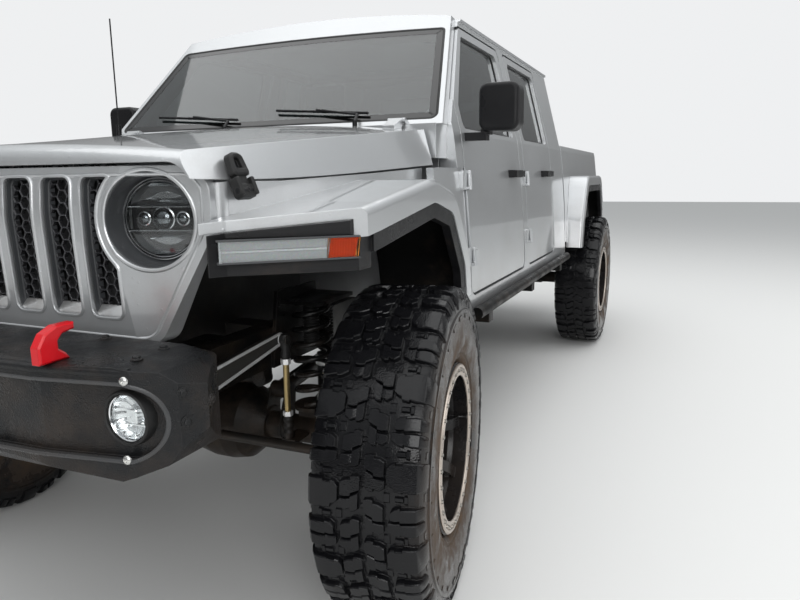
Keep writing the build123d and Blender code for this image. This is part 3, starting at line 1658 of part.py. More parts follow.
bumper_pocket = 20.0         # sunk panel that runs across the face between the fog lamps
pocket_radius = 74.0


def bumper_plan(shrink):
    """Outline from above: straight in the middle, swept back and wrapped at the ends."""
    half = [
        (rail_front_x - 50, bumper_half - 60), (rail_front_x + 40, bumper_half - 22),
        (bumper_front_x - 155, bumper_half), (bumper_front_x - 92, bumper_half - 18),
        (bumper_front_x - 44 - shrink, bumper_half - 90), (bumper_front_x - 8 - shrink, 430.0),
        (bumper_front_x - shrink, 200.0),
    ]
    return half + [(x, -y) for x, y in reversed(half)]


def fog_plane(side, setback):
    """Plane of a fog lamp in the bumper's swept end, facing forward."""
    x = bumper_front_x - 44 + (bumper_half - 90 - fog_lamp[0]) * fog_sweep - setback
    return Plane(origin=(x, side * fog_lamp[0], fog_lamp[1]), x_dir=(0, 1, 0), z_dir=(1, 0, 0))


with BuildPart() as pocket:
    with BuildSketch(Plane.YZ.offset(bumper_front_x - 200)):
        SlotOverall(2 * (fog_lamp[0] + pocket_radius), 2 * pocket_radius)
    extrude(amount=260)
pocket_block = pocket.part.moved(Location((0, 0, fog_lamp[1] - 6)))
# Sunk panel, cut no deeper than the same plan set back
with BuildPart() as sunk:
    add(pocket_block)
    with BuildSketch(Plane.XY.offset(600)):
        with BuildLine():
            Polyline(*bumper_plan(bumper_pocket), close=True)
        make_face()
    extrude(amount=400, mode=Mode.SUBTRACT)

with BuildPart() as front_bumper:
    with BuildSketch(Plane.YZ.offset(rail_front_x)):
        with BuildLine():
            right = [(-y, z) for y, z in reversed(bumper_face)]
            Polyline(*bumper_face, *right, close=True)
        make_face()
    extrude(amount=bumper_depth + 20)
    with BuildSketch(Plane.XY.offset(600)):
        with BuildLine():
            Polyline(*bumper_plan(0.0), close=True)
        make_face()
    extrude(amount=400, mode=Mode.INTERSECT)
    with BuildSketch(Plane.XZ.offset(900)):
        with BuildLine():
            Polyline(*bumper_side, close=True)
        make_face()
    extrude(amount=-1800, mode=Mode.INTERSECT)
    add(sunk.part, mode=Mode.SUBTRACT)
    for side in (1, -1):
        with BuildSketch(fog_plane(side, fog_depth + 24)):
            Circle(fog_radius + 8)
        extrude(amount=200, mode=Mode.SUBTRACT)
save(front_bumper.part, "front_bumper")

with BuildPart() as front_lamps:
    # Long lamp on each fender's front and fog lamp in each end of the bumper
    for side in (1, -1):
        add(strip if side > 0 else strip.mirror(Plane.XZ))
        with BuildSketch(fog_plane(side, fog_depth + 24)):
            Circle(fog_radius + 8 - fit)
        extrude(amount=12)
        with BuildSketch(fog_plane(side, fog_depth + 12)):
            Circle(fog_radius)
        extrude(amount=18, taper=6)
save(front_lamps.part, "front_lamps")

hook_y = 466.0
hook_thickness = 26.0
hook_tip_x = front_axle_x + front_overhang
hook_foot_z = bumper_top_z + fit
hook_outline = [
    # back from the tip, height over the bumper: up the front, over the crown, down the throat
    (0.0, 0.0), (0.0, 34.0), (16.0, 58.0), (44.0, 70.0), (86.0, 70.0), (86.0, 56.0),
    (58.0, 52.0), (46.0, 40.0), (46.0, 24.0), (62.0, 12.0), (70.0, 0.0),
]
with BuildPart() as tow_hooks:
    with BuildSketch(Plane.XZ.offset(-(hook_y - hook_thickness / 2))):
        with BuildLine():
            Polyline(*[(hook_tip_x - x, hook_foot_z + z) for x, z in hook_outline], close=True)
        make_face()
    extrude(amount=-hook_thickness)
    chamfer(tow_hooks.edges().group_by(Axis.Y)[0] + tow_hooks.edges().group_by(Axis.Y)[-1], 4)
    mirror(about=Plane.XZ)
save(tow_hooks.part, "tow_hooks")


# Bed: floor, double side walls, front wall, wheel housings and cross sills
bed_front_x = cab_rear_x - bed_gap
bed_rear_x = bed_front_x - bed_length
bed_inner_half = 700.0
bed_skirt_z = 800.0
bed_skin = 30.0
bed_end_x = bed_rear_x - tailgate_thickness
tailgate_pin = (bed_rear_x - tailgate_thickness / 2, 966.0)
housing_half = 560.0
housing_wall = 15.0
bed_sills = (247.0, 617.0, 957.0, 1257.0)   # behind the bed's front


def arch_block(radius, y_from, y_to):
    """Round block about the rear arch's centre on the left side."""
    with BuildPart() as block:
        with BuildSketch(Plane.XZ.offset(-y_from)):
            with Locations((rear_axle_x, rear_arch_z)):
                Circle(radius)
        extrude(amount=y_from - y_to)
    return block.part


with BuildPart() as hump_block:
    add(arch_block(arch_radius + 25, housing_half, bed_inner_half + 40))
    split(bisect_by=Plane.XY.offset(bed_floor_z - 45), keep=Keep.TOP)
wheel_hump = hump_block.part
wheel_room = arch_block(arch_radius, housing_half + housing_wall, 1000)

with BuildPart() as bed:
    with BuildSketch(Plane.YZ.offset(bed_end_x)):
        with BuildLine():
            skirt = (flank_y(bed_skirt_z), bed_skirt_z)
            belt = (belt_half, belt_z)
            middle_z = (bed_skirt_z + belt_z) / 2
            ThreePointArc(skirt, (flank_y(middle_z) + flank_bulge, middle_z), belt)
            Polyline(
                belt, (flank_y(bed_top_z), bed_top_z), (bed_inner_half, bed_top_z),
                (bed_inner_half, bed_floor_z - 25), (flank_y(940) - bed_skin, 940),
                (flank_y(bed_skirt_z) - bed_skin, bed_skirt_z), skirt,
            )
        make_face()
    extrude(amount=bed_front_x - bed_end_x)
    fillet(bed.edges().filter_by(Axis.X).group_by(Axis.Z)[-1], 10)
    add(arch_block(arch_radius, housing_half, 1000), mode=Mode.SUBTRACT)
    mirror(about=Plane.XZ)
    with Locations(((bed_front_x + bed_rear_x + 6) / 2, 0, bed_floor_z - 12.5)):
        Box(bed_front_x - bed_rear_x - 6, 2 * bed_inner_half, 25)
    with Locations((bed_front_x - 20, 0, (bed_floor_z - 25 + bed_top_z - 14) / 2)):
        Box(40, 2 * bed_inner_half, bed_top_z - 14 - bed_floor_z + 25)
    # Rear sill under the tailgate
    with Locations(((bed_rear_x + 30 + bed_end_x) / 2, 0, (rail_top_rear + 928) / 2)):
        Box(bed_rear_x + 30 - bed_end_x, 2 * bed_inner_half + 160, 928 - rail_top_rear)
    with Locations((bed_rear_x + 21, 0, (rail_top_rear + bed_floor_z - 25) / 2)):
        Box(30, 2 * bed_inner_half, bed_floor_z - 25 - rail_top_rear)
    for setback in bed_sills:
        with Locations((bed_front_x - setback, 0, (rail_top_rear + bed_floor_z - 25) / 2)):
            Box(60, 1080, bed_floor_z - 25 - rail_top_rear)
    for side in (1, -1):
        hump = wheel_hump if side > 0 else wheel_hump.mirror(Plane.XZ)
        room = wheel_room if side > 0 else wheel_room.mirror(Plane.XZ)
        add(hump)
        add(room, mode=Mode.SUBTRACT)
save(bed.part, "bed")

with BuildPart() as tailgate:
    with BuildSketch(Plane.XZ.offset(-bed_inner_half + 6)):
        with Locations(tailgate_pin):
            Circle(tailgate_thickness / 2)
        with Locations((tailgate_pin[0], (tailgate_pin[1] + bed_top_z - 4) / 2)):
            Rectangle(tailgate_thickness, bed_top_z - 4 - tailgate_pin[1])
    extrude(amount=2 * bed_inner_half - 12)
    # Pins that sit against the bed walls
    with BuildSketch(Plane.XZ.offset(-bed_inner_half + fit)):
        with Locations(tailgate_pin):
            Circle(11)
    extrude(amount=2 * bed_inner_half - 2 * fit)
    # Latch handle recess in the outer face
    with Locations((bed_end_x, 0, 1340)):
        Box(30, 190, 70, mode=Mode.SUBTRACT)
    with Locations((bed_end_x + 10, 0, 1346)):
        Box(12, 150, 34)
save(tailgate.part, "tailgate")

with BuildPart() as tail_lamps:
    for side in (1, -1):
        with BuildSketch(Plane.YZ.offset(bed_end_x)):
            with Locations((side * 742, 1170)):
                RectangleRounded(68, 320, 14)
        extrude(amount=-22)
save(tail_lamps.part, "tail_lamps")


# Rear flares round the bed's arches, with their dark lips
rear_flare_line = [
    # x from the rear axle, z of the flare's top edge, radius of the corner there
    (600.0, 740.0, 0.0),
    (560.0, 960.0, 150.0),
    (400.0, 1236.0, 150.0),
    (-330.0, 1236.0, 150.0),
    (-520.0, 1000.0, 150.0),
    (-560.0, 740.0, 0.0),
]
flank_room = flank_shell(bed_front_x + 200, bed_end_x - 200, bed_skirt_z, bed_top_z, 300, 300, -fit)
with BuildPart() as rear_flares:
    add(flare(rear_flare_line, rear_axle_x, 760.0, 772.0))
    add(flank_room, mode=Mode.SUBTRACT)
    with Locations((rear_axle_x, 780, 760)):
        Box(1400, 2 * (flank_y(bed_skirt_z) - 780), 2 * (bed_skirt_z - 760), mode=Mode.SUBTRACT)
    mirror(about=Plane.XZ)
save(rear_flares.part, "rear_flares")

with BuildPart() as rear_flare_lips:
    add(flare_arch(
        rear_flare_line, rear_axle_x, 772.0, flange_depth + fit, flange_depth + lip_height,
        flange_y - 4, flare_half - 4,
    ))
    add(flank_room, mode=Mode.SUBTRACT)
    mirror(about=Plane.XZ)
save(rear_flare_lips.part, "rear_flare_lips")


# Rear bumper over the rail ends
with BuildPart() as rear_bumper:
    with BuildSketch(Plane.XY.offset(690)):
        with BuildLine():
            Polyline(
                (rear_end_x + 60, 800), (rear_end_x, 560), (rear_end_x, -560), (rear_end_x + 60, -800),
                (rail_rear_x, -800), (rail_rear_x, 800), close=True,
            )
        make_face()
    extrude(amount=145)
    chamfer(rear_bumper.edges().filter_by(Axis.Y).group_by(Axis.X)[0], 14)
    # Step pads at both ends
    for side in (1, -1):
        with Locations((rail_rear_x - 70, side * 640, 835)):
            Box(90, 220, 12, mode=Mode.SUBTRACT)
with BuildPart() as hitch:
    # Receiver tube with its pin hole, hung from the last crossmember
    with BuildSketch(Plane.YZ.offset(rear_end_x + 10)):
        with Locations((0, receiver_z)):
            Rectangle(receiver_bore + 2 * receiver_wall, receiver_bore + 2 * receiver_wall)
            Rectangle(receiver_bore, receiver_bore, mode=Mode.SUBTRACT)
    extrude(amount=receiver_length)
    with BuildSketch(Plane.XZ.offset(-receiver_bore / 2)):
        with BuildLine():
            Polyline(
                (rear_end_x + 154, receiver_z + receiver_bore / 2),
                (rear_end_x + receiver_length + 10, receiver_z + receiver_bore / 2),
                (rail_rear_x + 105, hitch_beam_z - fit),
                (rail_rear_x + 20, hitch_beam_z - fit),
                close=True,
            )
        make_face()
    extrude(amount=receiver_bore)
    with Locations((rear_end_x + 62, 0, receiver_z)):
        Cylinder(hitch_pin_radius, 4 * receiver_bore, rotation=(90, 0, 0), mode=Mode.SUBTRACT)
save(Compound(children=[rear_bumper.part, hitch.part]), "rear_bumper")


# Rock rails along the sills
rock_rail = (862.0, 724.0)
rock_radius = 24.0
rock_front_x = front_axle_x - 700.0
rock_rear_x = front_axle_x - 2700.0
with BuildPart() as side_rails:
    for side in (1, -1):
        with BuildSketch(Plane.YZ.offset(rock_rear_x)):
            with Locations((side * rock_rail[0], rock_rail[1])):
                Circle(rock_radius)
        extrude(amount=rock_front_x - rock_rear_x)
        for x in (front_axle_x - 900, front_axle_x - 1700, front_axle_x - 2500):
            with Locations((x, side * (rail_outer + rock_rail[0]) / 2, 679)):
                Box(60, rock_rail[0] - rail_outer, 48)
save(side_rails.part, "side_rails")


# Rubber latches on the hood's sides
latch_x = front_axle_x + 467.0
latch_edge = hood_edge(latch_x)
with BuildPart() as hood_latches:
    with Locations((latch_x, latch_edge + 18, 1218)):
        Box(50, 20, 56)
    with Locations((latch_x, latch_edge + 2, 1268)):
        Box(50, 52, 52)
    add(hood_block(0, 0, 0), mode=Mode.SUBTRACT)
    mirror(about=Plane.XZ)
save(hood_latches.part, "hood_latches")


# Mirrors and handles on the doors
skin_room = flank_shell(
    front_door_x + 50, rear_door_rear_x - 50, door_bottom_z - 5, door_top_z + 5, 200, 100, -fit,
)
handle_z = 1250.0
handle_reach = 45.0
mirror_z = (1405.0, 1580.0)
mirror_y = (838.0, 990.0)


def handle(x):
    """Pull handle standing off the skin on two feet."""
    with BuildPart() as body:
        with Locations((x, flank_y(handle_z) + handle_reach - 8, handle_z)):
            Box(170, 18, 30)
        for foot in (-68, 68):
            with Locations((x + foot, flank_y(handle_z) + handle_reach / 2 - 10, handle_z)):
                Box(34, handle_reach, 34)
        add(skin_room, mode=Mode.SUBTRACT)
    return body.part


with BuildPart() as front_fittings:
    add(handle(front_door_rear_x + 150))
    with Locations((front_door_x - 60, (belt_half + mirror_y[0] + 20) / 2 - 8, 1388)):
        Box(44, mirror_y[0] + 50 - belt_half, 30)
    with Locations((front_door_x - 60, mirror_y[0] + 22, 1404)):
        Box(40, 36, 20)
    add(skin_room, mode=Mode.SUBTRACT)
    with BuildSketch(Plane.YZ.offset(front_door_x - 104)):
        with Locations((sum(mirror_y) / 2, sum(mirror_z) / 2)):
            RectangleRounded(mirror_y[1] - mirror_y[0], mirror_z[1] - mirror_z[0], 34)
    extrude(amount=84)
    fillet(front_fittings.edges().group_by(Axis.X)[-1], 16)
with BuildPart() as rear_fittings:
    add(handle(rear_door_rear_x + 205))
for place, fittings in (("front", front_fittings.part), ("rear", rear_fittings.part)):
    save(fittings, f"fittings_{place}_left")
    save(fittings.mirror(Plane.XZ), f"fittings_{place}_right")


# Cabin: seats, dashboard with console and sport bar, steering wheel
floor_top_z = floor_bottom_z + floor_thickness
with BuildPart() as seats:
    for side in (1, -1):
        seat_x = front_axle_x - 1250
        with Locations((seat_x - 240, side * 380, (floor_top_z + 980) / 2)):
            Box(380, 360, 980 - floor_top_z)
        with Locations((seat_x - 250, side * 380, 1040)):
            Box(500, 480, 126)
        with BuildSketch(Plane.XZ.offset(220 - side * 380)):
            with BuildLine():
                Polyline(
                    (seat_x - 410, 1040), (seat_x - 480, 1600), (seat_x - 560, 1600),
                    (seat_x - 520, 1040), close=True,
                )
            make_face()
        extrude(amount=-440)
        with Locations((seat_x - 520, side * 380, 1680)):
            Box(80, 260, 150)
        with Locations((seat_x - 520, side * 380, 1600)):
            Box(24, 120, 60)
    with Locations((front_axle_x - 2360, 0, (floor_top_z + 1100) / 2)):
        Box(460, 1180, 1100 - floor_top_z)
    with Locations((front_axle_x - 2620, 0, (floor_top_z + 1620) / 2)):
        Box(110, 1180, 1620 - floor_top_z)
save(seats.part, "seats")

dash_front_x = firewall_x - panel
dash_rear_x = front_axle_x - 930.0
wheel_centre = (front_axle_x - 1010.0, 380.0, 1330.0)
column_tilt = 25.0
column_direction = (cos(radians(column_tilt)), 0, -sin(radians(column_tilt)))
column_radius = 22.0


def along_column(distance):
    """Point on the steering column, measured forward from the wheel's middle."""
    return tuple(c + distance * d for c, d in zip(wheel_centre, column_direction))


with BuildPart() as cabin_trim:
    with Locations(((dash_front_x + dash_rear_x) / 2, 0, 1257)):
        Box(dash_front_x - dash_rear_x, 1400, 276)
    fillet(cabin_trim.edges().filter_by(Axis.Y).group_by(Axis.X)[0], 40)
    with Locations((front_axle_x - 1280, 0, (floor_top_z + 1000) / 2)):
        Box(700, 180, 1000 - floor_top_z)
    with Locations((front_axle_x - 940, 0, 1000)):
        Box(60, 180, 450)
    with Locations((front_axle_x - 1120, 0, 1040)):
        Cylinder(11, 110)
    with Locations((front_axle_x - 1120, 0, 1100)):
        Sphere(26)
    # Sport bar: hoop behind the front seats and a bar along each side of the roof
    hoop_x = front_axle_x - 1840
    with BuildLine() as path:
        FilletPolyline(
            (hoop_x, -600, floor_top_z), (hoop_x, -600, 1420), (hoop_x, -540, 1800),
            (hoop_x, 540, 1800), (hoop_x, 600, 1420), (hoop_x, 600, floor_top_z), radius=70,
        )
    with BuildSketch(Plane(origin=path.line @ 0, z_dir=path.line % 0)):
        Circle(24)
    sweep(path=path.line)
    for side in (1, -1):
        add(link_tube((hoop_x, side * 520, 1800), (front_axle_x - 1080, side * 520, 1812), 22))
    # Shroud of the steering column
    add(link_tube(along_column(60), along_column(160), column_radius + 20))
    add(link_tube(along_column(30), along_column(120), column_radius + fit), mode=Mode.SUBTRACT)
save(cabin_trim.part, "cabin_trim")

rim_turn = Plane(origin=wheel_centre, x_dir=(0, 1, 0), z_dir=column_direction)
with BuildPart() as steering_wheel:
    add(Torus(178, 15, mode=Mode.PRIVATE).moved(rim_turn.location))
    add(link_tube(along_column(-20), along_column(40), 52))
    add(link_tube(along_column(20), along_column(120), column_radius))
    for angle in (0, 180, 270):
        end = rim_turn.from_local_coords(
            Vector(170 * cos(radians(angle)), 170 * sin(radians(angle)), 0)
        )
        add(link_tube(along_column(4), tuple(end), 13))
save(steering_wheel.part, "steering_wheel")


# Wipers and antenna on the cowl
wiper_table = [
    # y of the pivot, y of the blade's foot, y of the blade's top
    (430.0, 420.0, 40.0),
    (-160.0, -170.0, -560.0),
]
antenna = (front_axle_x - 560.0, -720.0)


def over_screen(y, z, stand):
    """Point above the windshield plane."""
    return (
        screen_x(z) + stand * cos(radians(screen_rake)), y, z + stand * sin(radians(screen_rake))
    )


with BuildPart() as cowl_fittings:
    for pivot_y, foot_y, top_y in wiper_table:
        with Locations((glass_base_x + 32, pivot_y, cowl_top_z + 11)):
            Cylinder(9, 22)
        add(link_tube((glass_base_x + 32, pivot_y, cowl_top_z + 18), over_screen(foot_y, 1462, 16), 6))
        add(link_tube(over_screen(foot_y, 1462, 16), over_screen((foot_y + top_y) / 2, 1490, 14), 5))
        add(link_tube(over_screen(foot_y + 40, 1470, 10), over_screen(top_y, 1500, 10), 5))
    with Locations((antenna[0], antenna[1], cowl_top_z + 26)):
        Cylinder(11, 52)
    with Locations((antenna[0], antenna[1], (cowl_top_z + 1913) / 2)):
        Cylinder(3, 1913 - cowl_top_z)
save(cowl_fittings.part, "cowl_fittings")
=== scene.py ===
# %% [markdown]
# # A lifted off-road pickup in Blender
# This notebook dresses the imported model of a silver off-road pickup. The solid pieces
# come from the CAD frame and stay where they are. Each lesson adds a finish, or a piece
# that shows more detail than the solids do, and says why it is made that way.

# %% Load the frame
import bmesh
import bpy
import json
import math
from mathutils import Matrix, Vector


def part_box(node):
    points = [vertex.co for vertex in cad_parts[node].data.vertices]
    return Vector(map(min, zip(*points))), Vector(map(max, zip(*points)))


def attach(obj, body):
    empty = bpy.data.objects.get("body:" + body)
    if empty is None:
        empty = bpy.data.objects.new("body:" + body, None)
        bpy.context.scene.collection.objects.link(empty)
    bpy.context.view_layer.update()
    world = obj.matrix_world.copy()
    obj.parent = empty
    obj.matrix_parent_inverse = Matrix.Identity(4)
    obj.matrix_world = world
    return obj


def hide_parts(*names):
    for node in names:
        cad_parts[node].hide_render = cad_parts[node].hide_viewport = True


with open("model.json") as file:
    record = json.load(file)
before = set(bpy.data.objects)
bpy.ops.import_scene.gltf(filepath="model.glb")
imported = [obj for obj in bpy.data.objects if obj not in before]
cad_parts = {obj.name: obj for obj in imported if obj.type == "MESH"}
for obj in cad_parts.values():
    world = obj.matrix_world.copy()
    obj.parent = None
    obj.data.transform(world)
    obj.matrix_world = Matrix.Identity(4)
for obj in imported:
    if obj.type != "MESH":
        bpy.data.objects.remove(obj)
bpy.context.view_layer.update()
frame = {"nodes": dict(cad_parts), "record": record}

nodes = frame["nodes"]

# %% [markdown]
# ## Where things are
# Every length is in metres and every place is counted from the same origin as the
# solids: on the ground, midway between the bumpers, with X forward and Y to the
# vehicle's left. A few stations are named here once, so that later pieces can be hung
# on the axles without repeating numbers.

# %% Stations
FRONT_AXLE = 1.910
REAR_AXLE = FRONT_AXLE - 3.487
TYRE_RADIUS = 0.467
STEER = math.radians(8.0)
KINGPIN_Y = 0.735
WHEEL_Y = 0.870
SIDES = (("left", 1), ("right", -1))
print("axles at", FRONT_AXLE, "and", round(REAR_AXLE, 3))

# %% [markdown]
# ## Camera
# The picture was taken close to the left front wheel, a little above the hood's edge,
# with a wide lens. The camera is set by a heading, a dip and a small roll, and its axes
# are built from them, so each number keeps a plain meaning.

# %% Camera
FILM_WIDTH, PICTURE_WIDTH, FOCAL_PIXELS = 36.0, 800.0, 668.0
CAMERA_PLACE = (FRONT_AXLE + 1.706, 1.585, 1.238)
heading, dip, roll = (math.radians(a) for a in (23.42, 10.38, -0.66))
look = Vector((-math.cos(heading) * math.cos(dip), -math.sin(heading) * math.cos(dip), -math.sin(dip)))
right = look.cross(Vector((0, 0, 1))).normalized()
over = right.cross(look)
camera_right = math.cos(roll) * right + math.sin(roll) * over
camera_up = -math.sin(roll) * right + math.cos(roll) * over
axes = Matrix((camera_right, camera_up, -look)).transposed().to_4x4()
lens = bpy.data.cameras.new("studio_camera")
lens.sensor_fit = "HORIZONTAL"
lens.sensor_width = FILM_WIDTH
lens.lens = FOCAL_PIXELS / PICTURE_WIDTH * FILM_WIDTH
camera = bpy.data.objects.new("studio_camera", lens)
camera.matrix_world = Matrix.Translation(CAMERA_PLACE) @ axes
bpy.context.scene.collection.objects.link(camera)
bpy.context.scene.camera = camera
bpy.context.scene.view_settings.view_transform = "Standard"
print("lens", round(lens.lens, 2), "mm")

# %% [markdown]
# ## Helpers for node graphs
# A finish is a node graph. Small helpers keep the graphs short: one feeds a socket from
# a node or a number, one adds a node and fills its sockets, and one starts a material
# and hands back its shader. What more than one finish needs, such as beads of rain or
# dried mud, is a node group that is built once and placed with its own numbers.

# %% Node helpers
def feed(tree, socket, source):
    """Join a node's first output, or a given output, to a socket, or set its number."""
    if isinstance(source, bpy.types.Node):
        source = source.outputs[0]
    if isinstance(source, bpy.types.NodeSocket):
        tree.links.new(source, socket)
    else:
        socket.default_value = source


def fill(tree, target, **sources):
    """Feed sockets of a node by their names."""
    for key, source in sources.items():
        feed(tree, target.inputs[key.replace("_", " ")], source)


def node(tree, kind, *sources, **values):
    """Add one node: values set its sockets and settings by name, sources in order."""
    made = tree.nodes.new("ShaderNode" + kind)
    for key, value in values.items():
        if key.replace("_", " ") in made.inputs:
            fill(tree, made, **{key: value})
        else:
            setattr(made, key, value)
    for socket, source in zip(made.inputs, sources):
        feed(tree, socket, source)
    return made


def maths(tree, operation, *sources, clamp=False):
    return node(tree, "Math", *sources, operation=operation, use_clamp=clamp)


def object_place(tree):
    return node(tree, "TexCoord").outputs["Object"]


def new_group(name, numbers, outputs):
    """Empty node group with number inputs and named outputs."""
    group = bpy.data.node_groups.new(name, "ShaderNodeTree")
    for label, default in numbers.items():
        socket = group.interface.new_socket(
            name=label, in_out="INPUT", socket_type="NodeSocketFloat")
        socket.default_value = default
    for label, kind in outputs.items():
        group.interface.new_socket(
            name=label, in_out="OUTPUT", socket_type="NodeSocket" + kind)
    given = group.nodes.new("NodeGroupInput").outputs
    return group, given, group.nodes.new("NodeGroupOutput")


def place_group(tree, group, **values):
    return node(tree, "Group", node_tree=group, **values)


def finish_of(name, color, roughness, metallic=0.0, **sockets):
    """New material with its constants set on the shader itself."""
    material = bpy.data.materials.new(name)
    material.use_nodes = True
    tree = material.node_tree
    shader = tree.nodes["Principled BSDF"]
    fill(tree, shader, Base_Color=(*color, 1), Roughness=roughness, Metallic=metallic, **sockets)
    return material, tree, shader


def relief(tree, shader, strength, distance, **sources):
    """Bump on the shader's normal, from a height and maybe a softened normal."""
    fill(tree, shader, Normal=node(tree, "Bump", Strength=strength, Distance=distance, **sources))


print("helpers ready")

# %% [markdown]
# ## Floor and light
# The vehicle stands in a pale studio. One wide panel overhead does most of the work, as
# an overcast sky does, so tops are bright and flanks fall off softly. Two weak panels
# lift the front and the left side. The dome is a soft gradient, because a metallic
# finish only looks like metal when it has something to reflect.

# %% Floor and light
bpy.ops.mesh.primitive_plane_add(size=60.0, location=(0, 0, -0.002))
floor = bpy.context.object
floor.name = "studio_floor"
floor.data.materials.append(finish_of("pale_floor", (0.74, 0.74, 0.73), 0.9, Specular_IOR_Level=0.1)[0])


def add_panel(name, place, aim, size, power):
    """Soft square light aimed at a point."""
    lamp = bpy.data.lights.new(name, "AREA")
    lamp.shape = "RECTANGLE"
    lamp.size, lamp.size_y = size
    lamp.energy = power
    holder = bpy.data.objects.new(name, lamp)
    holder.location = place
    holder.rotation_euler = (Vector(aim) - Vector(place)).to_track_quat("-Z", "Y").to_euler()
    bpy.context.scene.collection.objects.link(holder)


add_panel("sky_panel", (0.6, 0.4, 7.5), (0.4, 0.0, 0.0), (14.0, 11.0), 580.0)
add_panel("front_panel", (7.0, 3.5, 3.2), (1.5, 0.4, 0.8), (4.0, 3.0), 170.0)
add_panel("left_panel", (-1.5, 7.5, 2.6), (0.0, 0.5, 0.8), (6.0, 2.5), 70.0)

dome = bpy.data.worlds.new("studio_dome")
bpy.context.scene.world = dome
dome.use_nodes = True
sky = dome.node_tree
sky.nodes.clear()
height = node(sky, "SeparateXYZ", node(sky, "TexCoord").outputs["Generated"]).outputs["Z"]
ramp = node(sky, "ValToRGB", height)
low, high = ramp.color_ramp.elements
low.position, low.color = 0.0, (0.22, 0.22, 0.22, 1)
high.position, high.color = 0.55, (0.95, 0.98, 1.0, 1)
lit = node(sky, "Background", ramp, Strength=0.62)
seen = node(sky, "Background", Color=(0.86, 0.87, 0.88, 1))
camera_ray = node(sky, "LightPath").outputs["Is Camera Ray"]
node(sky, "OutputWorld", node(sky, "MixShader", camera_ray, lit, seen))

# %% [markdown]
# ## Rain beads
# The paint is wet. Real beads are low domes a few millimetres wide, scattered at
# random, and no two are the same size. Voronoi cells give one dome each: the distance
# from the cell's middle makes its height, and the cell's own random colour sets how
# wide it is, or whether it is there at all.

# %% Rain beads group
def build_beads():
    group, given, end = new_group(
        "rain_beads", {"Cell Size": 0.011, "Share": 0.45}, {"Height": "Float"})
    scale = maths(group, "DIVIDE", 1.0, given["Cell Size"])
    cells = node(group, "TexVoronoi", Vector=object_place(group), Scale=scale)
    chance = node(group, "SeparateColor", cells.outputs["Color"])
    there = maths(group, "LESS_THAN", chance.outputs["Red"], given["Share"])
    width = node(group, "MapRange", chance.outputs["Green"], To_Min=0.10, To_Max=0.30)
    ratio = maths(group, "DIVIDE", cells.outputs["Distance"], width, clamp=True)
    dome = maths(group, "SUBTRACT", 1.0, maths(group, "MULTIPLY", ratio, ratio), clamp=True)
    fill(group, end, Height=maths(group, "MULTIPLY", dome, there))
    return group


rain_beads = build_beads()
print("group:", rain_beads.name)

# %% [markdown]
# ## Trail mud
# Mud lies thickest low down, where the wheels throw it, and breaks up into splashes
# higher up. The group fades with height over the ground and is broken by noise. It
# gives a mask, so each finish decides what the mud does to its colour and its gloss.

# %% Trail mud group
def build_mud():
    group, given, end = new_group(
        "trail_mud", {"Top": 1.0, "Amount": 0.5, "Grain": 9.0}, {"Mask": "Float"})
    place = object_place(group)
    height = node(group, "SeparateXYZ", place).outputs["Z"]
    low = maths(group, "SUBTRACT", 1.0, maths(group, "DIVIDE", height, given["Top"]))
    noise = node(group, "TexNoise", Vector=place, Scale=given["Grain"], Detail=8.0, Roughness=0.68)
    strong = maths(group, "MULTIPLY_ADD", maths(group, "SUBTRACT", noise, 0.5), 2.6, low)
    fill(group, end, Mask=maths(group, "MULTIPLY", strong, given["Amount"], clamp=True))
    return group


trail_mud = build_mud()
print("group:", trail_mud.name)

# %% [markdown]
# ## Edge wear and grain
# Corners of used parts catch light: paint thins there and plastic polishes. Comparing
# the true normal with one that is rounded over a few millimetres finds those corners
# without any painting by hand. The second group is a moulded grain: small cells for
# the skin and a broad noise for the places where hands and branches have rubbed it.

# %% Edge wear and grain groups
# On the honeycomb the lighter edges that this mask gives are a painted highlight.
def build_edges():
    group, given, end = new_group(
        "edge_wear", {"Radius": 0.003, "Breakup": 40.0}, {"Mask": "Float", "Normal": "Vector"})
    soft = node(group, "Bevel", samples=4, Radius=given["Radius"])
    flat = node(group, "NewGeometry").outputs["Normal"]
    dot = node(group, "VectorMath", soft, flat, operation="DOT_PRODUCT").outputs["Value"]
    turn = maths(group, "SUBTRACT", 1.0, dot, clamp=True)
    noise = node(group, "TexNoise", Vector=object_place(group), Scale=given["Breakup"], Detail=5.0)
    rough = maths(group, "MULTIPLY", turn, noise)
    fill(group, end, Mask=node(group, "MapRange", rough, From_Min=0.02, From_Max=0.16), Normal=soft)
    return group


def build_grain():
    group, given, end = new_group(
        "moulded_grain", {"Scale": 700.0, "Wear Scale": 6.0}, {"Height": "Float", "Wear": "Float"})
    place = object_place(group)
    cells = node(group, "TexVoronoi", feature="SMOOTH_F1", Vector=place, Scale=given["Scale"])
    noise = node(group, "TexNoise", Vector=place, Scale=given["Wear Scale"], Detail=7.0, Roughness=0.62)
    fill(group, end, Height=cells.outputs["Distance"], Wear=noise)
    return group


edge_wear = build_edges()
moulded_grain = build_grain()
print("groups:", edge_wear.name, moulded_grain.name)

# %% [markdown]
# ## Silver paint
# The body is a metallic silver under clear lacquer. A metal base with a mid roughness
# gives the broad sheen of the flakes and a coat gives the sharp wet gloss over it. Rain
# beads stand in the coat, and thin brown dust fades in towards the sills.

